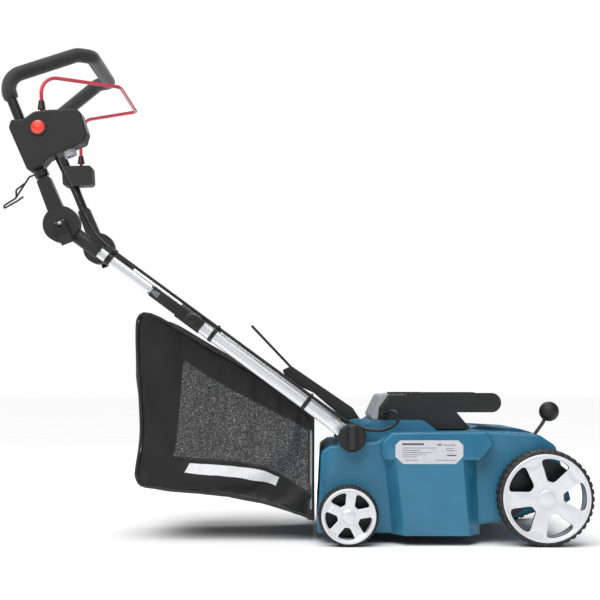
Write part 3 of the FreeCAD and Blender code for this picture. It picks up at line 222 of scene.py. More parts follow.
def woven_polyester():
    """Black coated polyester weave of the bag: threads 1.2 mm apart, drawn coarse so that they show."""
    made, tree, principled, place = surface("woven_polyester", (70, 4.0, 0.3, 0.7, "#060607", "#0D0D0E"), 0.6,
                                            IOR=1.45, Sheen_Weight=0.06, Sheen_Roughness=0.45)
    threads = []
    for turn in (0, math.pi / 2):
        turned = add(tree, "ShaderNodeMapping", {"Vector": place, "Rotation": (0, turn, 0)})
        wave = add(tree, "ShaderNodeTexWave", {"Vector": turned.outputs[0], "Scale": 1 / (1.2 * MM) / 6.283,
                                               "Distortion": 0.6}, wave_type="BANDS", bands_direction="X")
        threads.append(wave.outputs["Fac"])
    weave = add(tree, "ShaderNodeMath", {0: threads[0], 1: threads[1]}, operation="MULTIPLY")
    creases = add(tree, "ShaderNodeBump", {"Height": grain(tree, place, 26, 3.0), "Distance": 1.2 * MM,
                                           "Strength": 0.35})
    woven = add(tree, "ShaderNodeBump", {"Height": weave.outputs[0], "Distance": 0.12 * MM, "Strength": 0.5,
                                         "Normal": creases.outputs[0]})
    tree.links.new(woven.outputs[0], principled.inputs["Normal"])
    return made


def knitted_net():
    """Grey-black knitted net of the bag's window: 3 mm meshes whose threads catch the light unevenly."""
    made, tree, principled, place = surface("knitted_net", None, 0.55, IOR=1.5, Sheen_Weight=0.3,
                                            Sheen_Roughness=0.4)
    cells = add(tree, "ShaderNodeTexVoronoi", {"Vector": place, "Scale": 1 / (3.2 * MM), "Randomness": 0.85},
                feature="DISTANCE_TO_EDGE").outputs["Distance"]
    thread = between(tree, cells, 0.02, 0.16, "#FFFFFF", "#000000")
    patchy = between(tree, grain(tree, place, 3.4, 2.0, rough=0.8), 0.42, 0.68, "#1C1C1D", "#9A9A9C")
    tone = add(tree, "ShaderNodeMix", {0: thread, 6: colour("#0F0F10"), 7: patchy}, data_type="RGBA")
    tree.links.new(tone.outputs[2], principled.inputs["Base Color"])
    raised = add(tree, "ShaderNodeBump", {"Height": cells, "Distance": 0.6 * MM, "Strength": 0.6})
    tree.links.new(raised.outputs[0], principled.inputs["Normal"])
    return made


# ---- materials, each named for what it is ---------------------------------------------
# moulded teal ABS: satin, with a painted pale highlight along its shoulders
TEAL = moulded("satin_teal_abs", "#196A8C", "#156282", (0.9, 3.0, 0.02), 0.38, "#6FA9C0", 0.12)
# charcoal polypropylene with a fine eroded grain: dull, with a painted grey highlight at its edges
GRAINED = moulded("dark_grained_pp", "#131314", "#0E0E0F", (0.8, 3.0, 0.05), 0.55, "#333334", 0.3)
# smooth black polypropylene of flaps and levers: a clearer highlight than the grained one, and a painted grey
# highlight at its edges
SMOOTH = moulded("black_smooth_pp", "#101011", "#0C0C0D", (1.1, 3.0, 0.02), 0.38, "#3C3C3D", 0.3)
# light grey moulded ABS of the sloped vent panel, with a painted paler highlight at its edges
GREY = moulded("pale_grey_abs", "#A9ABB0", "#9A9CA2", (0.9, 3.0, 0.02), 0.38, "#D0D2D5", 0.3,
               Coat_Weight=0.1, Coat_Roughness=0.2)
RIM = silver_rim_paint()
# hard black tyre rubber: dull, with a dusty brown cast mottled all over it
TYRE = surface("black_tyre_rubber", (14, 5.0, 0.4, 0.75, "#191818", "#2A2523"), 0.62, (1.1, 4.0, 0.08, 0.7),
               IOR=1.52)[0]
FOAM = grip_foam()
# drawn and clear-anodised aluminium tube: bright, with fine die lines along its length
ALU = metal("drawn_aluminium", "#E0E1E3", "#F1F1F2", 2.6, 0.40, 0.06, (0.012, 1, 1),
            -math.atan2(ALONG.z, -ALONG.x), bumpy=False)
# ground steel shafts, with fine turning marks round them
SHAFT = metal("turned_steel", "#8E9094", "#B4B6BA", 0.8, 0.3, 0.08, (1, 0.05, 1))
# galvanised sheet, with spangles about a centimetre across
ZINC = metal("galvanised_sheet", "#8F9396", "#A9ADB0", 9.0, 0.42, 0.08)
# blued spring steel of the blades
SPRING = metal("blued_spring_steel", "#5B5E63", "#77797E", 2.5, 0.4, 0.08)
LACQUER = powder_coat("motor_lacquer", "#3C3E42", "#303236", 0.45)
BLACK_ENAMEL = powder_coat("black_enamel", "#1D1D1F", "#161618", 0.35)
STEM = powder_coat("brown_black_enamel", "#33201F", "#261818", 0.35)
RED_ENAMEL = powder_coat("red_enamel", "#D04052", "#B93346", 0.3, coat=0.3)
# glossy signal-red button cap
BUTTON = surface("button_red", (9, 2.0, 0.3, 0.7, "#E8392B", "#FF5142"), 0.28, (1.4, 2.0, 0.015, 0.4),
                 IOR=1.5, Coat_Weight=0.6, Coat_Roughness=0.06)[0]
# soft black PVC cable jacket: a long soft highlight
CABLE = surface("cable_pvc", (12, 3.0, 0.35, 0.7, "#131314", "#1B1B1C"), 0.45, (0.9, 2.0, 0.03, 0.5),
                IOR=1.5)[0]
# white printed film of the rating plate, faintly mottled
FILM = surface("plate_film", (9, 4.0, 0.3, 0.7, "#BEBEC4", "#CBCBD0"), 0.4, (2.0, 2.0, 0.01, 0.3),
               IOR=1.47)[0]
# dark grey screen ink, slightly uneven
INK = surface("plate_ink", (1.5, 4.0, 0.3, 0.8, "#2E3038", "#5B5D66"), 0.5, IOR=1.47)[0]
BAG_CLOTH = woven_polyester()
BAG_NET = knitted_net()
# black grosgrain tape that binds the seams: ribs about 1 mm apart
BAG_TAPE = surface("seam_tape", (8, 3.0, 0.3, 0.7, "#101011", "#1E1E1F"), 0.65, (1.0, 2.0, 0.15, 0.6),
                   IOR=1.5, Sheen_Weight=0.3, Sheen_Roughness=0.5)[0]
# dark grey polyester sewing thread
STITCH = surface("grey_thread", (2, 2.0, 0.3, 0.7, "#3A3A3B", "#515153"), 0.5, IOR=1.5, Sheen_Weight=0.4,
                 Sheen_Roughness=0.4)[0]
# white screen-printed ink on cloth, thin enough to show the weave
PRINT = surface("screen_print", (3, 4.0, 0.25, 0.6, "#C6C6C8", "#E2E2E3"), 0.6, (1.2, 2.0, 0.08, 0.5),
                IOR=1.5)[0]
# matt white studio paper
PAPER = surface("white_floor", (300, 3.0, 0.3, 0.7, "#FBFBFB", "#FFFFFF"), 0.9)[0]

FINISHES = {
    TEAL: ["deck_housing", "belt_cover", "centre_hood"],
    GRAINED: ["motor_cover", "carry_handle", "pivot_sockets", "pivot_arms", "switch_box", "bail_bracket",
              "tube_clamps", "deck_knob_left", "deck_knob_right", "depth_knob", "reel_spacers"],
    SMOOTH: ["rear_flap", "clamp_lever_left", "clamp_lever_right", "pivot_lever_left", "pivot_lever_right",
             "cord_gland"],
    GREY: ["cover_rear_panel", "power_inlet"],
    SHAFT: ["motor_shaft", "motor_pulley", "reel_pulley", "reel_shaft", "reel_bearings", "rear_axle",
            "front_axle", "deck_fasteners", "flap_pin", "pivot_bolts", "bag_frame"],
    ZINC: ["chassis_frame"],
    SPRING: ["reel_blades"],
    LACQUER: ["motor_body"],
    BLACK_ENAMEL: ["handlebar", "cord_hook", "flap_rod"],
    STEM: ["depth_lever"],
    RED_ENAMEL: ["bail"],
    BUTTON: ["start_button"],
    CABLE: ["bail_boots", "drive_belt"],
    FILM: ["rating_plate"],
}
for finish, names in FINISHES.items():
    for name in names:
        mesh = nodes[name].data
        mesh.materials.clear()
        mesh.materials.append(finish)


def softened(node, width_mm):
    """Rounds a moulding's sharp edges by width_mm, on top of the CAD node's own mesh."""
    piece = nodes[node]
    weld = piece.modifiers.new("weld", "WELD")
    weld.merge_threshold = 0.005 * MM
    flat = piece.modifiers.new("flat", "DECIMATE")
    flat.decimate_type = "DISSOLVE"
    flat.angle_limit = math.radians(1)
    bevel = piece.modifiers.new("bevel", "BEVEL")
    bevel.width = width_mm * MM
    bevel.segments = 2
    bevel.limit_method = "ANGLE"
    bevel.angle_limit = math.radians(38)
    bevel.use_clamp_overlap = True
    bevel.harden_normals = True


# ---- mesh helpers ---------------------------------------------------------------------
def piece(name, verts, faces, material, body=None, slot=None, smooth=True):
    """A new mesh piece from vertices in the row frame."""
    mesh = bpy.data.meshes.new(name)
    mesh.from_pydata([tuple(v) for v in verts], [], faces)
    mesh.validate()
    mesh.update()
    made = bpy.data.objects.new(name, mesh)
    scene.collection.objects.link(made)
    if isinstance(material, list):
        for m in material:
            mesh.materials.append(m)
    else:
        mesh.materials.append(material)
    for face in mesh.polygons:
        face.use_smooth = smooth
    if body:
        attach(made, body)
    return made


def tidy_normals(made, merge_mm=0.01):
    """Welds a mesh and turns its faces outward."""
    work = bmesh.new()
    work.from_mesh(made.data)
    bmesh.ops.remove_doubles(work, verts=work.verts, dist=merge_mm * MM)
    bmesh.ops.recalc_face_normals(work, faces=work.faces)
    work.to_mesh(made.data)
    work.free()
    made.data.update()


def grid_faces(rows, columns, close_rows=False, close_columns=False):
    """Quads of a grid whose vertices lie row by row."""
    faces = []
    for i in range(rows if close_rows else rows - 1):
        for j in range(columns if close_columns else columns - 1):
            a = (i % rows) * columns
            b = ((i + 1) % rows) * columns
            k = (j + 1) % columns
            faces.append((a + j, a + k, b + k, b + j))
    return faces


def edge_split(made, angle=35):
    """Sharp shading where faces meet at more than the angle."""
    mesh = made.data
    work = bmesh.new()
    work.from_mesh(mesh)
    for edge in work.edges:
        if len(edge.link_faces) == 2 and edge.calc_face_angle(0) > math.radians(angle):
            edge.smooth = False
    work.to_mesh(mesh)
    work.free()


def subdivided(made, levels=1):
    step = made.modifiers.new("smooth", "SUBSURF")
    step.levels = levels
    step.render_levels = levels


def rounded(made, width_mm, segments=2, angle=35):
    step = made.modifiers.new("round", "BEVEL")
    step.width = width_mm * MM
    step.segments = segments
    step.limit_method = "ANGLE"
    step.angle_limit = math.radians(angle)
    step.harden_normals = True


def arc_path(points, radii, step_mm=4.0):
    """Points along straight runs joined by tangent arcs."""
    points = [Vector(p) for p in points]
    line = [points[0]]
    for i in range(1, len(points) - 1):
        a = (points[i - 1] - points[i]).normalized()
        b = (points[i + 1] - points[i]).normalized()
        half = a.angle(b) / 2
        reach = radii[i - 1] * MM / math.tan(half)
        centre = points[i] + (a + b).normalized() * (radii[i - 1] * MM / math.sin(half))
        start = points[i] + a * reach
        end = points[i] + b * reach
        sweep = math.pi - 2 * half
        count = max(4, int(sweep * radii[i - 1] / step_mm))
        for k in range(count + 1):
            share = k / count
            u = (start - centre).normalized()
            w = (end - centre).normalized()
            line.append(centre + u.slerp(w, share) * radii[i - 1] * MM)
    line.append(points[-1])
    even = [line[0]]
    for a, b in zip(line, line[1:]):
        parts = max(1, round((b - a).length / (step_mm * MM)))
        for k in range(1, parts + 1):
            even.append(a.lerp(b, k / parts))
    return even


def frames(line, up):
    """A square pair of directions across each point of a line, carried along without twist."""
    made = []
    side = Vector(up)
    for i in range(len(line)):
        ahead = (line[min(i + 1, len(line) - 1)] - line[max(i - 1, 0)]).normalized()
        side = (side - ahead * side.dot(ahead)).normalized()
        made.append((side.copy(), ahead.cross(side)))
    return made


def sleeve(name, line, radii_mm, material, up=(0, 1, 0), around=24, body=None, slot=None):
    """A round sleeve along a line, with its own radius at each point and flat caps at its ends."""
    verts = []
    for here, (side, other), radius in zip(line, frames(line, up), radii_mm):
        for k in range(around):
            turn = 2 * math.pi * k / around
            verts.append(here + (side * math.cos(turn) + other * math.sin(turn)) * radius * MM)
    faces = grid_faces(len(line), around, close_columns=True)
    faces.append(tuple(range(around)))
    faces.append(tuple(range(len(verts) - 1, len(verts) - around - 1, -1)))
    made = piece(name, verts, faces, material, body, slot)
    tidy_normals(made)
    return made


def lathe(name, profile, centre, axis, material, body=None, slot=None, around=64):
    """A turned piece: the profile is (radius, along) in millimetres about an axis through the centre."""
    axis = Vector(axis).normalized()
    u = axis.orthogonal().normalized()
    w = axis.cross(u)
    verts = []
    for k in range(around):
        turn = 2 * math.pi * k / around
        out = u * math.cos(turn) + w * math.sin(turn)
        verts.extend(Vector(centre) + out * r * MM + axis * a * MM for r, a in profile)
    made = piece(name, verts, grid_faces(around, len(profile), close_rows=True), material, body, slot)
    tidy_normals(made)
    edge_split(made)
    return made


def prism(name, outline, depth, material, body=None, slot=None, bevel_mm=0.6):
    """An outline of points in space, pulled along a depth vector, with rounded edges."""
    outline = [Vector(p) for p in outline]
    count = len(outline)
    verts = outline + [p + Vector(depth) for p in outline]
    faces = [tuple(range(count)), tuple(range(2 * count - 1, count - 1, -1))]
    faces += [(i, (i + 1) % count, (i + 1) % count + count, i + count) for i in range(count)]
    made = piece(name, verts, faces, material, body, slot)
    tidy_normals(made)
    rounded(made, bevel_mm)
    return made


def joined(name, pieces):
    """Several loose pieces as one object."""
    bpy.ops.object.select_all(action="DESELECT")
    for p in pieces:
        p.select_set(True)
    bpy.context.view_layer.objects.active = pieces[0]
    bpy.ops.object.join()
    pieces[0].name = name
    return pieces[0]


# ---- wheels ---------------------------------------------------------------------------
WHEELS = {"front": (3, 18.0), "rear": (47, 13.5)}    # first window's angle in degrees, cap radius in mm
LUGS = 40                                            # tread lugs in a row


def tyre(name, centre, radius, seat, inner, outer, side, body):
    """A rubber ring: sidewalls roll into a crown cut by two staggered rows of tread lugs."""
    width = outer - inner
    profile = [(seat, 0), (radius - 9, 0.0), (radius - 5.5, 0.5), (radius - 2.6, 2.5), (radius - 1.6, 6)]
    rows = 12
    for k in range(rows + 1):
        share = k / rows
        profile.append((radius - 1.6 + 1.0 * math.sin(math.pi * share), 6 + (width - 12) * share))
    profile += [(radius - 2.6, width - 2.5), (radius - 5.5, width - 0.5), (radius - 8.5, width + 0.4),
                (seat + 2.5, width + 0.4), (seat, width - 0.6)]
    around = LUGS * 8
    verts = []
    for i in range(around):
        turn = 2 * math.pi * i / around
        for r, across in profile:
            row = 0.0 if across < width * 0.5 else 0.5
            phase = (i / 8 + row) % 1.0
            lug = 1.0 if 0.12 < phase < 0.72 else 0.0
            groove = 1.0 if abs(across - width / 2) < 1.4 else 0.0
            shoulder = 1.0 if radius - r < 5.6 else 0.0
            lift = (2.4 * lug * (1 - groove) - 1.2) * shoulder
            if r >= radius - 2.7:
                lift = min(lift, radius - r)
            reach = (r + lift) * MM
            verts.append(centre + Vector((reach * math.cos(turn), side * (inner + across) * MM,
                                          reach * math.sin(turn))))
    made = piece(name, verts, grid_faces(around, len(profile), close_rows=True, close_columns=True), TYRE,
                 body, "tyre_rubber")
    tidy_normals(made)
    edge_split(made, 30)
    return made


def rim_depth(r, seat, spread):
    """How far the dished face lies behind the flange, in millimetres, at radius r."""
    return 1.2 + 4.6 * (1 - r / seat) + spread


def rim(name, centre, seat, flange, cap, outer, inner, side, first, body):
    """A moulded wheel: barrel, flange, dished face with windows between flared spokes, and a domed cap."""
    windows = 5
    side_steps = 14                      # vertices along each side of a window
    rings = 7                            # loops from the window's lip to the sector's edge
    window_out = seat * 0.965
    window_in = cap + seat * 0.20
    reach_in = cap * 0.7
    verts = []
    faces = []
    sector = math.pi / windows

    def point(r, turn, depth):
        return centre + Vector((r * math.cos(turn) * MM, side * (outer - depth) * MM,
                                r * math.sin(turn) * MM))

    steps = [-1 + 2 * k / side_steps for k in range(side_steps)]
    square = ([(u, 1) for u in steps] + [(1, -u) for u in steps] + [(-u, -1) for u in steps]
              + [(-1, u) for u in steps])
    count = len(square)
    middle_r = (window_out + window_in) / 2
    half_r = (window_out - window_in) / 2
    power = 5.0                          # of the superellipse that rounds a window
    for i in range(windows):
        heart = math.radians(first) + 2 * math.pi * i / windows
        base = len(verts)
        for ring in range(rings + 2):
            for u, v in square:
                shrink = (abs(u) ** power + abs(v) ** power) ** (1 / power)
                su = u / shrink
                sv = v / shrink
                r_window = middle_r + half_r * sv
                widen = (r_window - window_in) / (window_out - window_in)
                half_turn = math.radians(13.0 + 11.5 * widen ** 0.8)
                t_window = heart + half_turn * su
                r_border = reach_in + (seat - reach_in) * (v + 1) / 2
                t_border = heart + sector * u
                share = max(0, ring - 2) / (rings - 1)
                ease = share ** 0.85
                r = r_window + (r_border - r_window) * ease
                t = t_window + (t_border - t_window) * ease
                if ring == 0:
                    depth = rim_depth(r, seat, 12.0)
                elif ring == 1:
                    depth = rim_depth(r, seat, 1.6)
                else:
                    depth = rim_depth(r, seat, 0.55 * (1 - min(1, share * 2.5)) ** 2)
                    off = abs((t - heart) / sector)
                    spoke = max(0.0, (off - 0.70) / 0.30)
                    if 0.78 < r / seat < 0.93 and off > 0.78 - 0.12 * (r / seat - 0.78) / 0.15:
                        depth += 1.7
                    depth -= 0.5 * spoke * (1 - abs(r / seat - 0.5))
                verts.append(point(r, t, depth))
        for ring in range(rings + 1):
            for k in range(count):
                a = base + ring * count
                b = a + count
                n = (k + 1) % count
                faces.append((a + k, a + n, b + n, b + k))
    made = piece(name, verts, faces, [RIM, BLACK_ENAMEL], body, "silver_plastic")
    # painted shade: the deep walls of the windows take black enamel instead of the rim's silver, darkening
    # them as if in shadow
    for index, face in enumerate(made.data.polygons):
        face.material_index = 1 if index % ((rings + 1) * count) < count else 0
    tidy_normals(made, 0.02)
    subdivided(made, 1)
    around = 96
    ring = [(seat - 0.4, 2.0), (seat + 0.6, 0.4), (seat + 1.8, 0.0), (flange - 1.0, 0.0), (flange, 0.9),
            (flange, 3.0), (seat + 0.8, 3.0), (seat + 0.8, outer - inner - 1),
            (seat - 2.4, outer - inner - 1), (seat - 2.4, 6), (seat - 0.4, 3.4)]
    barrel = []
    for k in range(around):
        turn = 2 * math.pi * k / around
        barrel.extend(point(r, turn, depth) for r, depth in ring)
    hoop = piece(name + ".barrel", barrel,
                 grid_faces(around, len(ring), close_rows=True, close_columns=True), RIM, body,
                 "silver_plastic")
    tidy_normals(hoop)
    edge_split(hoop, 40)
    hub = [(0, 16), (cap * 0.92, 16), (cap * 0.92, outer - inner), (6.2, outer - inner), (6.2, 20)]
    stub = lathe(name + ".hub", [(r, -depth) for r, depth in hub], centre + Vector((0, side * outer * MM, 0)),
                 (0, side, 0), RIM, body, "silver_plastic")
    dome = [(cap * 1.14, 6.5), (cap * 1.14, 3.4), (cap * 1.05, 2.9), (cap * 0.98, 3.3)]
    for k in range(9):
        turn = math.pi / 2 * k / 8
        dome.append((cap * 0.92 * math.cos(turn), 3.0 - 2.6 * math.sin(turn)))
    hat = lathe(name + ".cap", [(r, -depth) for r, depth in dome], centre + Vector((0, side * outer * MM, 0)),
                (0, side, 0), RIM, body, "silver_plastic")
    return made, hoop, stub, hat


def wheels():
    for end, (first, cap) in WHEELS.items():
        for hand, side in HANDS:
            tyre_node = end + "_tyre_" + hand
            rim_node = end + "_rim_" + hand
            body = end + "_wheel_" + hand
            low, high = corners(tyre_node)
            centre = (low + high) / 2
            centre.y = 0
            radius = (high.z - low.z) / 2 / MM
            rim_low, rim_high = corners(rim_node)
            flange = (rim_high.z - rim_low.z) / 2 / MM
            outer = max(abs(rim_low.y), abs(rim_high.y)) / MM
            inner = min(abs(low.y), abs(high.y)) / MM
            seat = flange - 6
            rubber = tyre(tyre_node + ".tread", centre, radius, seat + 1, inner, outer - 3.4, side, body)
            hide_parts(tyre_node)
            parts = rim(rim_node + ".face", centre, seat, flange, cap, outer, inner, side, first, body)
            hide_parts(rim_node)


def wheel_shade_plates():
    """Black plates on the deck walls behind the wheels: painted shade that darkens the deck seen through the
    wheels' windows.
    """
    for end, radius, turns in (("front", 76, (20, 215)), ("rear", 50, (0, 359))):
        for hand, side in HANDS:
            low, high = corners(end + "_tyre_" + hand)
            heart = (low + high) / 2
            heart.y = side * 215.2 * MM
            first, last = (math.radians(t) for t in turns)
            outline = []
            for k in range(41):
                turn = first + (last - first) * k / 40
                outline.append(heart + Vector((radius * MM * math.cos(turn), 0,
                                               radius * MM * math.sin(turn))))
            if end == "front":
                inner = []
                for k in range(17):
                    turn = last + (first - last) * k / 16
                    inner.append(heart + Vector((20 * MM * math.cos(turn), 0, 20 * MM * math.sin(turn))))
                outline += inner
            prism("wheel_shade_plate." + end + "." + hand, outline, (0, side * 1.6 * MM, 0), BLACK_ENAMEL, "frame",
                  "black_plastic", 0.4)


wheels()
wheel_shade_plates()


# ---- handle tubes ---------------------------------------------------------------------
def handle_tube(name, side, section, s0, s1, body, crimp=False):
    """One oval aluminium tube along the handle, its lower end crimped flat for the bolt if crimp is set."""
    turns = 72
    width, thick = section
    y0 = side * HANDLE_Y_MM
    if crimp:
        stations = [-14.99, -13, -9, -4, 2, 10, 20, 28, 33, 40, 48, 56, 62, 66]
        stations += [66 + (s1 - 66) * k / 24 for k in range(1, 25)]
    else:
        stations = [s0 + (s1 - s0) * k / 24 for k in range(25)]
    verts = []
    for s in stations:
        if crimp:
            share = min(1.0, max(0.0, (s - 30) / 30))
            share = share * share * (3 - 2 * share)
        else:
            share = 1.0
        w = 30 + (width - 30) * share
        t = 8 + (thick - 8) * share
        if s < 0:
            w = 30 * math.sqrt(max(0.0, 1 - (s / 15) ** 2))
        for k in range(turns):
            turn = 2 * math.pi * k / turns
            c, n = math.cos(turn), math.sin(turn)
            shrink = (abs(c) ** OVAL + abs(n) ** OVAL) ** (1 / OVAL)
            across = w / 2 * n / shrink
            out = t / 2 * c / shrink
            if share > 0.5 and c > 0.2 and abs(across / (w / 2) - 0.42) < 0.085:
                out -= 0.9
            verts.append(KNOB + ALONG * s * MM + ACROSS * across * MM
                         + Vector((0, y0 * MM + side * out * MM, 0)))
    faces = grid_faces(len(stations), turns, close_columns=True)
    faces.append(tuple(range(turns)))
    if not crimp:
        faces.append(tuple(range(len(verts) - 1, len(verts) - turns - 1, -1)))
    made = piece(name, verts, faces, ALU, body, "tube_aluminium")
    tidy_normals(made, 0.005)
    edge_split(made, 25)
    return made


def tubes():
    for hand, side in HANDS:
        low = handle_tube("lower_tube." + hand, side, LOWER_TUBE, -15, 445, "lower_handle", crimp=True)
        high = handle_tube("upper_tube." + hand, side, UPPER_TUBE, 300, 694, "sliding_handle")
    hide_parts("lower_tubes")
    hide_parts("upper_tubes")


tubes()


def ring_band(name, outer, inner, along, material, body, slot):
    """A band round something: two loops of points in space, pulled along a vector."""
    count = len(outer)
    loops = [outer, [p + along for p in outer], [p + along for p in inner], inner]
    verts = [p for loop in loops for p in loop]
    faces = grid_faces(4, count, close_rows=True, close_columns=True)
    made = piece(name, verts, faces, material, body, slot)
    tidy_normals(made)
    rounded(made, 0.5)
    return made


def cable_clip(name, s, section, wide_mm, body):
    """A moulded clip: a band round the handle tube with an eye for the cable on top."""
    width, thick = section
    loops = []
    for grow in (1.8, 0.15):
        loop = []
        for k in range(48):
            turn = 2 * math.pi * k / 48
            c, n = math.cos(turn), math.sin(turn)
            shrink = (abs(c) ** OVAL + abs(n) ** OVAL) ** (1 / OVAL)
            loop.append(tube_point(s, (width / 2 + grow) * n / shrink, (thick / 2 + grow) * c / shrink))
        loops.append(loop)
    ring_band(name, loops[0], loops[1], ALONG * wide_mm * MM, SMOOTH, body, "black_plastic")
    loops = []
    for radius in (6.2, 3.6):
        loops.append([tube_point(s + 2, CABLE_LIFT + radius * math.sin(2 * math.pi * k / 32),
                                 -CABLE_IN + radius * math.cos(2 * math.pi * k / 32)) for k in range(32)])
    ring_band(name + ".eye", loops[0], loops[1], ALONG * (wide_mm - 4) * MM, SMOOTH, body, "black_plastic")


def tube_point(s, across, out):
    """A point beside the right handle tube: along it from the knob, across it in its plane, and outward."""
    return KNOB + ALONG * s * MM + ACROSS * across * MM + Vector((0, -(HANDLE_Y_MM + out) * MM, 0))


cable_clip("cable_clip.upper", 632, UPPER_TUBE, 13, "sliding_handle")
cable_clip("cable_clip.lower", 360, LOWER_TUBE, 9, "lower_handle")
cable_clip("cable_clip.foot", 116, LOWER_TUBE, 9, "lower_handle")


# ---- cable ----------------------------------------------------------------------------
def cable(name, points, material, node):
    """One stretch of the cable: a smooth spline through its route, made into a mesh."""
    curve = bpy.data.curves.new(name, "CURVE")
    curve.dimensions = "3D"
    spline = curve.splines.new("NURBS")
    spline.points.add(len(points) - 1)
    for target, p in zip(spline.points, points):
        target.co = (*p, 1)
    spline.order_u = 3
    spline.use_endpoint_u = True
    spline.resolution_u = 10
    curve.bevel_depth = CABLE_R * MM
    curve.bevel_resolution = 5
    holder = bpy.data.objects.new(name + ".line", curve)
    scene.collection.objects.link(holder)
    bpy.context.view_layer.update()
    mesh = bpy.data.meshes.new_from_object(holder.evaluated_get(bpy.context.evaluated_depsgraph_get()))
    bpy.data.objects.remove(holder)
    made = bpy.data.objects.new(name, mesh)
    scene.collection.objects.link(made)
    mesh.materials.clear()
    mesh.materials.append(material)
    for face in mesh.polygons:
        face.use_smooth = True
    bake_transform(made)
    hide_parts(node)
    return made


def cables():
    gland = Vector((0.19786, -0.170, 0.271))
    deck = [gland + Vector(v) * MM for v in ((0, 0, 0), (0, -26, 0), (12, -38, 8), (26, -46, 4),
                                             (28, -47, -14), (10, -47, -29), (-20, -48, -36))]
    deck += [Vector((0.12971, -0.222, 0.24424)), Vector((0.07161, -0.222, 0.28677))]
    cable("cable_lead.deck", deck, CABLE, "cable_deck")
    lower = [Vector((0.07161, -0.222, 0.28677)), Vector((-0.37867, -0.222, 0.61633))]
    run = [lower[0].lerp(lower[1], k / 8) for k in range(9)]
    cable("cable_lead.lower", run, CABLE, "cable_lower")
    top = [Vector(v) for v in ((-0.37867, -0.222, 0.61633), (-0.41902, -0.222, 0.64586),
                               (-0.44626, -0.222, 0.69783), (-0.47026, -0.222, 0.74983),
                               (-0.49326, -0.222, 0.79183), (-0.51514, -0.222, 0.838))]
    cable("cable_lead.top", top, CABLE, "cable_top")


cables()


# ---- foam grip ------------------------------------------------------------------------
def foam_grip():
    """Closed-cell foam over the loop: rolled lips at both ends and a slightly uneven skin."""
    corner = PIVOT + UPWARD * 343 * MM
    foot = PIVOT + UPWARD * 295 * MM
    half = [foot + Vector((0, HANDLE_Y_MM * MM, 0)), corner + Vector((0, HANDLE_Y_MM * MM, 0)),
            corner + Vector((0.140, 0.134, 0.078)), corner + Vector((0.170, 0.116, 0.078))]
    other = [Vector((p.x, -p.y, p.z)) for p in reversed(half)]
    line = arc_path(half + other, [45, 40, 22, 22, 40, 45], 4.0)
    total = len(line) - 1
    radii = []
    lip = [11.6, 14.2, 15.6, 16.3, 16.4, 16.1]
    for i in range(total + 1):
        near = min(i, total - i)
        swell = 0.12 * noise.noise(Vector((i * 0.21, 3.7, 1.3)))
        radii.append(lip[near] if near < len(lip) else 15.9 + swell)
    line[1] = line[0].lerp(line[1], 0.12)
    line[2] = line[0].lerp(line[3], 0.25)
    line[-2] = line[-1].lerp(line[-2], 0.12)
    line[-3] = line[-1].lerp(line[-4], 0.25)
    made = sleeve("foam_sleeve", line, radii, FOAM, up=(0, 1, 0.01), around=40, body="upper_handle",
                  slot="dark_foam")
    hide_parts("foam_grip")


foam_grip()


# ---- collecting bag -------------------------------------------------------------------
BAG_LOW, BAG_HIGH = corners("bag")
BAG_SIDE = BAG_HIGH.y / MM - 1.5
COLUMNS_REAR = 5             # grid columns behind the mesh window
COLUMNS_WINDOW = 30
COLUMNS_FRONT = 1
ROWS_LOW = 10                # grid rows below the window
ROWS_WINDOW = 20
ROWS_HIGH = 5
ACROSS_STEPS = 28
FOOT_COLUMNS = range(COLUMNS_REAR + 8, COLUMNS_REAR + COLUMNS_WINDOW - 2)     # of the net in the bottom
CLOTH_FRAMES = 24
LARGEST_SHIFT = 9                                # of the settled cloth from its cut shape, mm


def smooth_line(points, share):
    """A point on a smooth line through some points, by share of its length."""
    spans = [(b - a).length for a, b in zip(points, points[1:])]
    target = share * sum(spans)
    for i, span in enumerate(spans):
        if target <= span or i == len(spans) - 1:
            break
        target -= span
    t = min(1.0, target / span)
    a = points[max(i - 1, 0)]
    b, c = points[i], points[i + 1]
    d = points[min(i + 2, len(points) - 1)]
    return 0.5 * ((2 * b) + (c - a) * t + (2 * a - 5 * b + 4 * c - d) * t * t
                  + (3 * b - a - 3 * c + d) * t ** 3)


def bag_edges():
    """The four edges of the bag's side: rear and front from the bottom up, bottom and top from the rear."""
    def at(back_mm, up_mm):
        return Vector((BAG_LOW.x + back_mm * MM, 0, BAG_LOW.z + up_mm * MM))
    front_x = (BAG_HIGH.x - BAG_LOW.x) / MM - 1.0
    high = (BAG_HIGH.z - BAG_LOW.z) / MM - 1.5
    rear = [at(11, 74), at(2.5, 92), at(3, 110), at(12, 178), at(9, 260), at(3, 340), at(1, 405),
            at(3.5, 432), at(13, high)]
    top = [rear[-1], at(26, high), at(44, high - 7), at(150, high - 70), at(250, high - 126),
           at(331, high - 183), at(356, high - 204), at(front_x, high - 227.5)]
    bottom = [rear[0], at(22, 71), at(162, 59), at(230, 49), at(302, 33), at(front_x, 1.5)]
    front = [bottom[-1], at(front_x, 70), at(front_x, 150), top[-1]]
    return rear, front, bottom, top


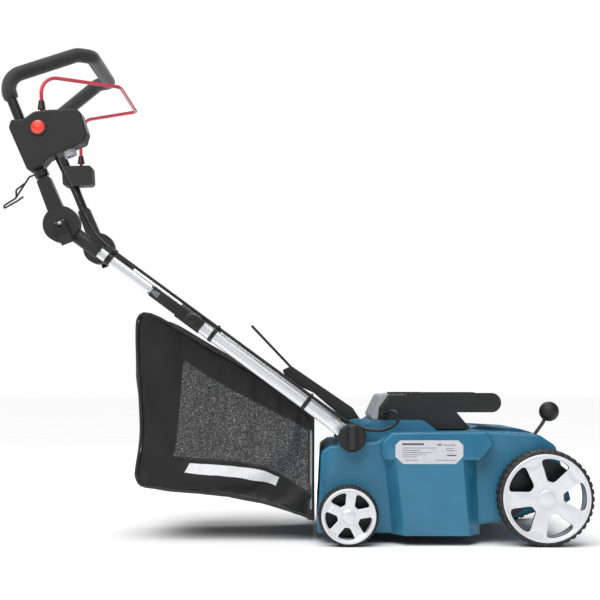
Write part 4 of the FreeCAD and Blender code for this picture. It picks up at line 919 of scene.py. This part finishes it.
def bag_grid():
    """The side panel's grid of points: its rows and columns follow the edges of the mesh window."""
    rear, front, bottom, top = bag_edges()

    def patch(u, v):
        a, b = smooth_line(rear, v), smooth_line(front, v)
        c, d = smooth_line(bottom, u), smooth_line(top, u)
        shared = (bottom[0] * (1 - u) * (1 - v) + bottom[-1] * u * (1 - v) + top[0] * (1 - u) * v
                  + top[-1] * u * v)
        return a * (1 - u) + b * u + c * (1 - v) + d * v - shared

    def window_low(u):
        if u < 0.70:
            return 0.19 + 0.13 * u / 0.70
        return 0.32 - 0.09 * (u - 0.70) / 0.30

    def window_high(u):
        return 0.90 - 0.13 * math.sin(math.pi * min(1.0, u / 1.25))

    def window_rear(v):
        return 0.185 + 0.095 * v

    columns = COLUMNS_REAR + COLUMNS_WINDOW + COLUMNS_FRONT
    rows = ROWS_LOW + ROWS_WINDOW + ROWS_HIGH
    grid = []
    for i in range(columns + 1):
        line = []
        for j in range(rows + 1):
            v = j / rows
            for _ in range(2):
                left = window_rear(v)
                if i <= COLUMNS_REAR:
                    u = left * i / COLUMNS_REAR
                elif i <= COLUMNS_REAR + COLUMNS_WINDOW:
                    u = left + (0.985 - left) * (i - COLUMNS_REAR) / COLUMNS_WINDOW
                else:
                    u = 1.0
                low = window_low(u)
                if j <= ROWS_LOW:
                    v = low * j / ROWS_LOW
                elif j <= ROWS_LOW + ROWS_WINDOW:
                    v = low + (window_high(u) - low) * (j - ROWS_LOW) / ROWS_WINDOW
                else:
                    v = window_high(u)
                    v += (1 - v) * (j - ROWS_LOW - ROWS_WINDOW) / ROWS_HIGH
            line.append(patch(u, v))
        grid.append(line)
    return grid


def bag_mesh():
    """Both side panels and the gusset round them, open at the front, with the window's faces marked."""
    grid = bag_grid()
    columns, rows = len(grid), len(grid[0])
    verts, faces, marks, where = [], [], [], {}

    def vertex(key, co):
        if key not in where:
            where[key] = len(verts)
            verts.append(co)
        return where[key]

    def side_vertex(side, i, j):
        p = grid[i][j]
        crown = 5.0 * math.sin(math.pi * i / (columns - 1)) * math.sin(math.pi * j / (rows - 1))
        return vertex((i, j, 0 if side < 0 else ACROSS_STEPS),
                      Vector((p.x, side * (BAG_SIDE - 4 + crown) * MM, p.z)))

    for side in (-1, 1):
        for i in range(columns - 1):
            for j in range(rows - 1):
                quad = (side_vertex(side, i, j), side_vertex(side, i + 1, j), side_vertex(side, i + 1, j + 1),
                        side_vertex(side, i, j + 1))
                faces.append(quad)
                window = (COLUMNS_REAR <= i < COLUMNS_REAR + COLUMNS_WINDOW
                          and ROWS_LOW <= j < ROWS_LOW + ROWS_WINDOW)
                marks.append(1 if window or (j == 0 and i in FOOT_COLUMNS) else 0)
    rim_path = [(i, 0) for i in range(columns - 1, 0, -1)] + [(0, j) for j in range(rows - 1)]
    rim_path += [(i, rows - 1) for i in range(columns)]

    def gusset_vertex(place, k):
        i, j = place
        p = grid[i][j]
        share = k / ACROSS_STEPS
        y = (-1 + 2 * share) * (BAG_SIDE - 4)
        crown = math.sin(math.pi * share)
        lift = 9 * crown * math.sin(math.pi * i / (columns - 1)) ** 0.5 if j == rows - 1 else 0
        back = 3 * crown if i == 0 else 0
        return vertex((i, j, k), Vector((p.x - back * MM, y * MM, p.z + lift * MM)))

    for a, b in zip(rim_path, rim_path[1:]):
        for k in range(ACROSS_STEPS):
            faces.append((gusset_vertex(a, k), gusset_vertex(a, k + 1), gusset_vertex(b, k + 1),
                          gusset_vertex(b, k)))
            foot = a[1] == 0 and b[1] == 0 and b[0] in FOOT_COLUMNS
            marks.append(1 if foot and 2 < k < ACROSS_STEPS - 3 else 0)
    return verts, faces, marks, where, rim_path, columns, rows


def simulate(made, pins):
    """Lets the cloth settle between its seams, then bakes the result into the mesh."""
    group = made.vertex_groups.new(name="pins")
    for index, weight in pins.items():
        group.add([index], weight, "REPLACE")
    step = made.modifiers.new("cloth", "CLOTH")
    cloth = step.settings
    cloth.quality = 6
    cloth.mass = 0.12
    cloth.tension_stiffness = 12
    cloth.compression_stiffness = 12
    cloth.shear_stiffness = 5
    cloth.bending_stiffness = 0.6
    cloth.air_damping = 2
    cloth.vertex_group_mass = "pins"
    cloth.pin_stiffness = 0.8
    cloth.shrink_min = -0.035
    cloth.shrink_max = -0.035
    step.collision_settings.use_collision = False
    step.point_cache.frame_start = 1
    step.point_cache.frame_end = CLOTH_FRAMES
    rest = [v.co.copy() for v in made.data.vertices]
    for frame_number in range(1, CLOTH_FRAMES + 1):
        scene.frame_set(frame_number)
    settled = made.evaluated_get(bpy.context.evaluated_depsgraph_get()).to_mesh()
    moved = [v.co.copy() for v in settled.vertices]
    made.modifiers.remove(step)
    scene.frame_set(1)
    for vertex, before, after in zip(made.data.vertices, rest, moved):
        shift = after - before
        if shift.length > LARGEST_SHIFT * MM:
            shift = shift.normalized() * LARGEST_SHIFT * MM
        vertex.co = before + shift
    made.vertex_groups.remove(group)


def bag():
    verts, faces, marks, where, rim_path, columns, rows = bag_mesh()
    made = piece("bag_cloth", verts, faces, [BAG_CLOTH, BAG_NET])
    for face, mark in zip(made.data.polygons, marks):
        face.material_index = mark
    work = bmesh.new()
    work.from_mesh(made.data)
    bmesh.ops.recalc_face_normals(work, faces=work.faces)
    work.to_mesh(made.data)
    area = sum(f.calc_area() for f in work.faces)
    work.free()
    pins = {}
    for (i, j, k), index in where.items():
        seam = k in (0, ACROSS_STEPS) and (j in (0, rows - 1) or i == 0)
        if seam or i >= columns - 2:
            pins[index] = 1.0
    simulate(made, pins)
    spots = {key: made.data.vertices[index].co.copy() for key, index in where.items()}
    made.data.update()
    normals = {key: made.data.vertices[index].normal.copy() for key, index in where.items()}
    subdivided(made, 1)
    thick = made.modifiers.new("thick", "SOLIDIFY")
    thick.thickness = 0.8 * MM
    thick.offset = -1
    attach(made, "collector")
    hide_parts("bag")
    for hand, k in (("right", 0), ("left", ACROSS_STEPS)):
        seam = [spots[(i, j, k)] for i, j in rim_path]
        line = [seam[0]]
        for a, b, c in zip(seam, seam[1:], seam[2:]):
            line.append((a + b * 2 + c) / 4)
        line.append(seam[-1])
        sleeve("bag_piping." + hand, line, [3.0] * len(line), BAG_TAPE, up=(0, 1, 0), around=10,
                            body="collector", slot="bag_fabric")
        stitching("bag_stitches." + hand, spots, normals, k)
        stripe("bag_print.%s.0" % hand, spots, normals, k)
    mouth_tape(spots, columns, rows)


def stitching(name, spots, normals, k):
    """Two rows of 5 mm lock stitches along the window's edges, drawn a little bold so that they show."""
    left, right = COLUMNS_REAR, COLUMNS_REAR + COLUMNS_WINDOW
    low, high = ROWS_LOW, ROWS_LOW + ROWS_WINDOW
    paths = [[(i, high) for i in range(left, right + 1)], [(left, j) for j in range(low, high + 1)],
             [(i, low) for i in range(left, right + 1)]]
    verts, faces = [], []
    for path in paths:
        for a, b in zip(path, path[1:]):
            start, end = spots[(*a, k)], spots[(*b, k)]
            out = (normals[(*a, k)] + normals[(*b, k)]).normalized()
            ahead = (end - start).normalized()
            beside = out.cross(ahead)
            count = max(1, round((end - start).length / (5 * MM)))
            for n in range(count):
                for row in (-2.0, 2.0):
                    p = start.lerp(end, (n + 0.2) / count) + beside * row * MM + out * 0.5 * MM
                    q = start.lerp(end, (n + 0.8) / count) + beside * row * MM + out * 0.5 * MM
                    base = len(verts)
                    for spot in (p, q):
                        for c, s in ((0.45, 0), (0, 0.45), (-0.45, 0), (0, -0.45)):
                            verts.append(spot + beside * c * MM + out * s * MM)
                    faces += [(base + m, base + (m + 1) % 4, base + 4 + (m + 1) % 4, base + 4 + m)
                              for m in range(4)]
                    faces += [(base + 3, base + 2, base + 1, base), (base + 4, base + 5, base + 6, base + 7)]
    return piece(name, verts, faces, STITCH, "collector", "bag_fabric")


def stripe(name, spots, normals, k):
    """A plain white printed stripe along the lower panel, slanting with its seam."""
    start, end = 0.21, 0.74              # shares of the panel's length
    low, high = 6.2, 8.8                 # grid rows
    steps = 21
    columns = COLUMNS_REAR + COLUMNS_WINDOW + COLUMNS_FRONT

    def on_panel(x, y):
        """x and y are grid columns and rows, whole or not."""
        i, j = int(x), int(y)
        fx, fy = x - i, y - j
        total, lean = Vector(), Vector()
        for di, dj, share in ((0, 0, (1 - fx) * (1 - fy)), (1, 0, fx * (1 - fy)), (0, 1, (1 - fx) * fy),
                              (1, 1, fx * fy)):
            total += spots[(i + di, j + dj, k)] * share
            lean += normals[(i + di, j + dj, k)] * share
        return total + lean.normalized() * 0.9 * MM

    verts = []
    for a in range(steps + 1):
        for b in range(5):
            x = (start + (end - start) * a / steps + 0.012 * b / 4) * columns
            verts.append(on_panel(x, low + (high - low) * b / 4))
    return piece(name, verts, grid_faces(steps + 1, 5), PRINT, "collector", "bag_fabric")


def mouth_tape(spots, columns, rows):
    """A doubled hem round the mouth of the bag."""
    i = columns - 1
    loop = [spots[(i, j, 0)] for j in range(rows)]
    loop += [spots[(i, rows - 1, k)] for k in range(ACROSS_STEPS + 1)]
    loop += [spots[(i, j, ACROSS_STEPS)] for j in range(rows - 1, -1, -1)]
    loop += [spots[(i, 0, k)] for k in range(ACROSS_STEPS, -1, -1)]
    middle_spot = sum(loop, Vector()) / len(loop)
    verts = []
    for p in loop:
        out = Vector((0, p.y - middle_spot.y, p.z - middle_spot.z)).normalized()
        for back, lift in ((0.8, 0.6), (-14, 0.6), (-14, -1.4), (0.8, -1.4)):
            verts.append(p + Vector((back * MM, 0, 0)) + out * lift * MM)
    made = piece("bag_hem", verts, grid_faces(len(loop), 4, close_rows=True, close_columns=True), BAG_TAPE,
                 "collector", "bag_fabric")
    tidy_normals(made)
    return made


bag()


# ---- small fittings -------------------------------------------------------------------
def plate_print():
    """Generic ruled lines and two boxes in place of the plate's text."""
    low, high = corners("rating_plate")
    y = low.y - 0.12 * MM
    width = high.x - low.x
    height = high.z - low.z
    # each bar's left, right, foot and height, as shares of the plate
    rows = [(0.10, 0.42, 0.80, 0.075), (0.10, 0.60, 0.665, 0.02), (0.10, 0.36, 0.56, 0.02),
            (0.10, 0.52, 0.47, 0.02), (0.10, 0.44, 0.38, 0.02), (0.10, 0.32, 0.29, 0.02),
            (0.62, 0.68, 0.78, 0.06), (0.71, 0.88, 0.785, 0.03), (0.74, 0.86, 0.64, 0.018),
            (0.74, 0.88, 0.56, 0.018), (0.76, 0.90, 0.34, 0.05), (0.14, 0.34, 0.15, 0.018),
            (0.60, 0.90, 0.15, 0.018)]
    verts, faces = [], []
    for x0, x1, z, h in rows:
        base = len(verts)
        for depth in (y, y + 0.1 * MM):
            for x, up in ((x0, z), (x1, z), (x1, z + h), (x0, z + h)):
                verts.append((low.x + x * width, depth, low.z + up * height))
        faces += [(base, base + 1, base + 2, base + 3)]
        faces += [(base + m, base + 4 + m, base + 4 + (m + 1) % 4, base + (m + 1) % 4) for m in range(4)]
    piece("plate_lines", verts, faces, INK, "frame", "plate_film", smooth=False)


plate_print()


def knob_ridges():
    """Finger ridges along each deck knob's grip bar."""
    for hand, side in HANDS:
        low, high = corners("deck_knob_" + hand)
        face = high.y if side > 0 else low.y
        for number, shift in enumerate((-14.5, -5.2, 5.2, 14.5)):
            reach = 24 if abs(shift) < 6 else 19
            depth = 1.0 if abs(shift) < 6 else -7.0
            x = KNOB.x + shift * MM
            y = face + side * (depth - 1.0) * MM
            outline = [Vector((x + a * MM, y, KNOB.z + b * reach * MM))
                       for a, b in ((-1.7, -1), (1.7, -1), (1.7, 1), (-1.7, 1))]
            prism("knob_ridge.%s.%d" % (hand, number), outline, (0, -side * 3.0 * MM, 0), GRAINED,
                  "knob_" + hand, "black_plastic", 1.2)


knob_ridges()


def clamp_details():
    """A round hub cap on each clamping lever and the bright spring clip under its free end."""
    for hand, side in HANDS:
        pin = joint_place("clamp_%s_flip" % hand)
        body = "clamp_" + hand
        profile = [(0, 8.6), (9.5, 8.6), (12.6, 7.6), (13.6, 5.5), (13.6, 0), (11.5, 0), (11.0, -1.5),
                   (0, -1.5)]
        lathe("clamp_hub." + hand, [(r, a + 2.0) for r, a in profile], pin, (0, side, 0), SMOOTH,
              "lower_handle", "black_plastic")
        tip = pin + ALONG * 92 * MM + Vector((0, side * -2.5 * MM, 0))
        outline = [tip + ALONG * a * MM + ACROSS * b * MM for a, b in ((-7, -6), (9, -4), (9, 4), (-7, 6))]
        prism("clamp_clip." + hand, outline, (0, side * 4.5 * MM, 0), SHAFT, body, "shaft_steel", 0.8)
        for number, lift in enumerate((-9.5, 9.5)):
            root = pin + ALONG * 84 * MM + ACROSS * lift * MM + Vector((0, side * -4 * MM, 0))
            inward = ACROSS * MM * (1 if lift < 0 else -1)
            end = root + ALONG * 24 * MM
            prong = [root, end, end + inward * 3.4, root + inward * 4.5]
            prism("clamp_prong.%s.%d" % (hand, number), prong, (0, side * 5 * MM, 0), SMOOTH, body,
                  "black_plastic", 0.8)


clamp_details()


def flap_spring():
    """The torsion spring round the flap's pin, with one leg on the flap."""
    pin = joint_place("flap_lift")
    curve_points = []
    turns = 9
    for k in range(turns * 16 + 1):
        turn = 2 * math.pi * k / 16
        curve_points.append(pin + Vector((9.6 * math.cos(turn) * MM, (118 + 2.4 * k / 16) * -MM,
                                          9.6 * math.sin(turn) * MM)))
    leg = curve_points[-1]
    curve_points += [leg + Vector((-8, -1, 9)) * MM, leg + Vector((-26, -1, 26)) * MM]
    sleeve("flap_spring", curve_points, [1.1] * len(curve_points), SHAFT, up=(0, 1, 0), around=8, body="flap",
           slot="shaft_steel")


flap_spring()


# ---- rounded edges on the mouldings that keep their CAD mesh --------------------------
for name, width in (("deck_housing", 1.6), ("motor_cover", 1.2), ("carry_handle", 1.5),
                    ("cover_rear_panel", 1.0), ("centre_hood", 2.0), ("switch_box", 0.8), ("rear_flap", 1.0),
                    ("pivot_arms", 1.5), ("pivot_sockets", 1.5), ("tube_clamps", 1.0),
                    ("clamp_lever_left", 0.8), ("clamp_lever_right", 0.8), ("pivot_lever_left", 0.8),
                    ("pivot_lever_right", 0.8)):
    softened(name, width)


# ---- floor, light and finish ----------------------------------------------------------
ROOM_LIGHT = 0.20           # strength of the light that comes from all round
LAMPS = (                   # name, kind, place, size in metres or radians, W or W/m2
    ("soft_top", "SUN", (-0.5, -0.9, 2.2), 1.2, 3.0),
    ("key", "AREA", (-0.6, -2.4, 2.6), 2.0, 17),
    ("rim", "AREA", (0.5, 2.0, 2.2), 1.2, 24),
)


def studio():
    """White paper all round, seen white but lighting less, and three lamps: above, in front and behind."""
    bpy.ops.mesh.primitive_plane_add(size=60, location=(0, 0, 0))
    floor = bpy.context.object
    floor.name = "floor"
    floor.data.materials.append(PAPER)
    world = bpy.data.worlds.new("studio")
    world.use_nodes = True
    scene.world = world
    tree = world.node_tree
    room = tree.nodes["Background"]
    room.inputs["Color"].default_value = colour("#FFFFFF")
    room.inputs["Strength"].default_value = ROOM_LIGHT
    paper = add(tree, "ShaderNodeBackground", {"Color": colour("#FFFFFF"), "Strength": 1.0})
    seen = add(tree, "ShaderNodeLightPath")
    both = add(tree, "ShaderNodeMixShader", {0: seen.outputs["Is Camera Ray"], 1: room.outputs[0],
                                             2: paper.outputs[0]})
    tree.links.new(both.outputs[0], tree.nodes["World Output"].inputs["Surface"])
    for name, kind, place, size, power in LAMPS:
        data = bpy.data.lights.new(name, kind)
        if kind == "SUN":
            data.angle = size
        else:
            data.size = size
        data.energy = power
        lamp = bpy.data.objects.new(name, data)
        lamp.location = place
        lamp.rotation_euler = (Vector((0, 0, 0.4)) - Vector(place)).to_track_quat("-Z", "Y").to_euler()
        scene.collection.objects.link(lamp)
    scene.view_settings.view_transform = "Standard"


studio()
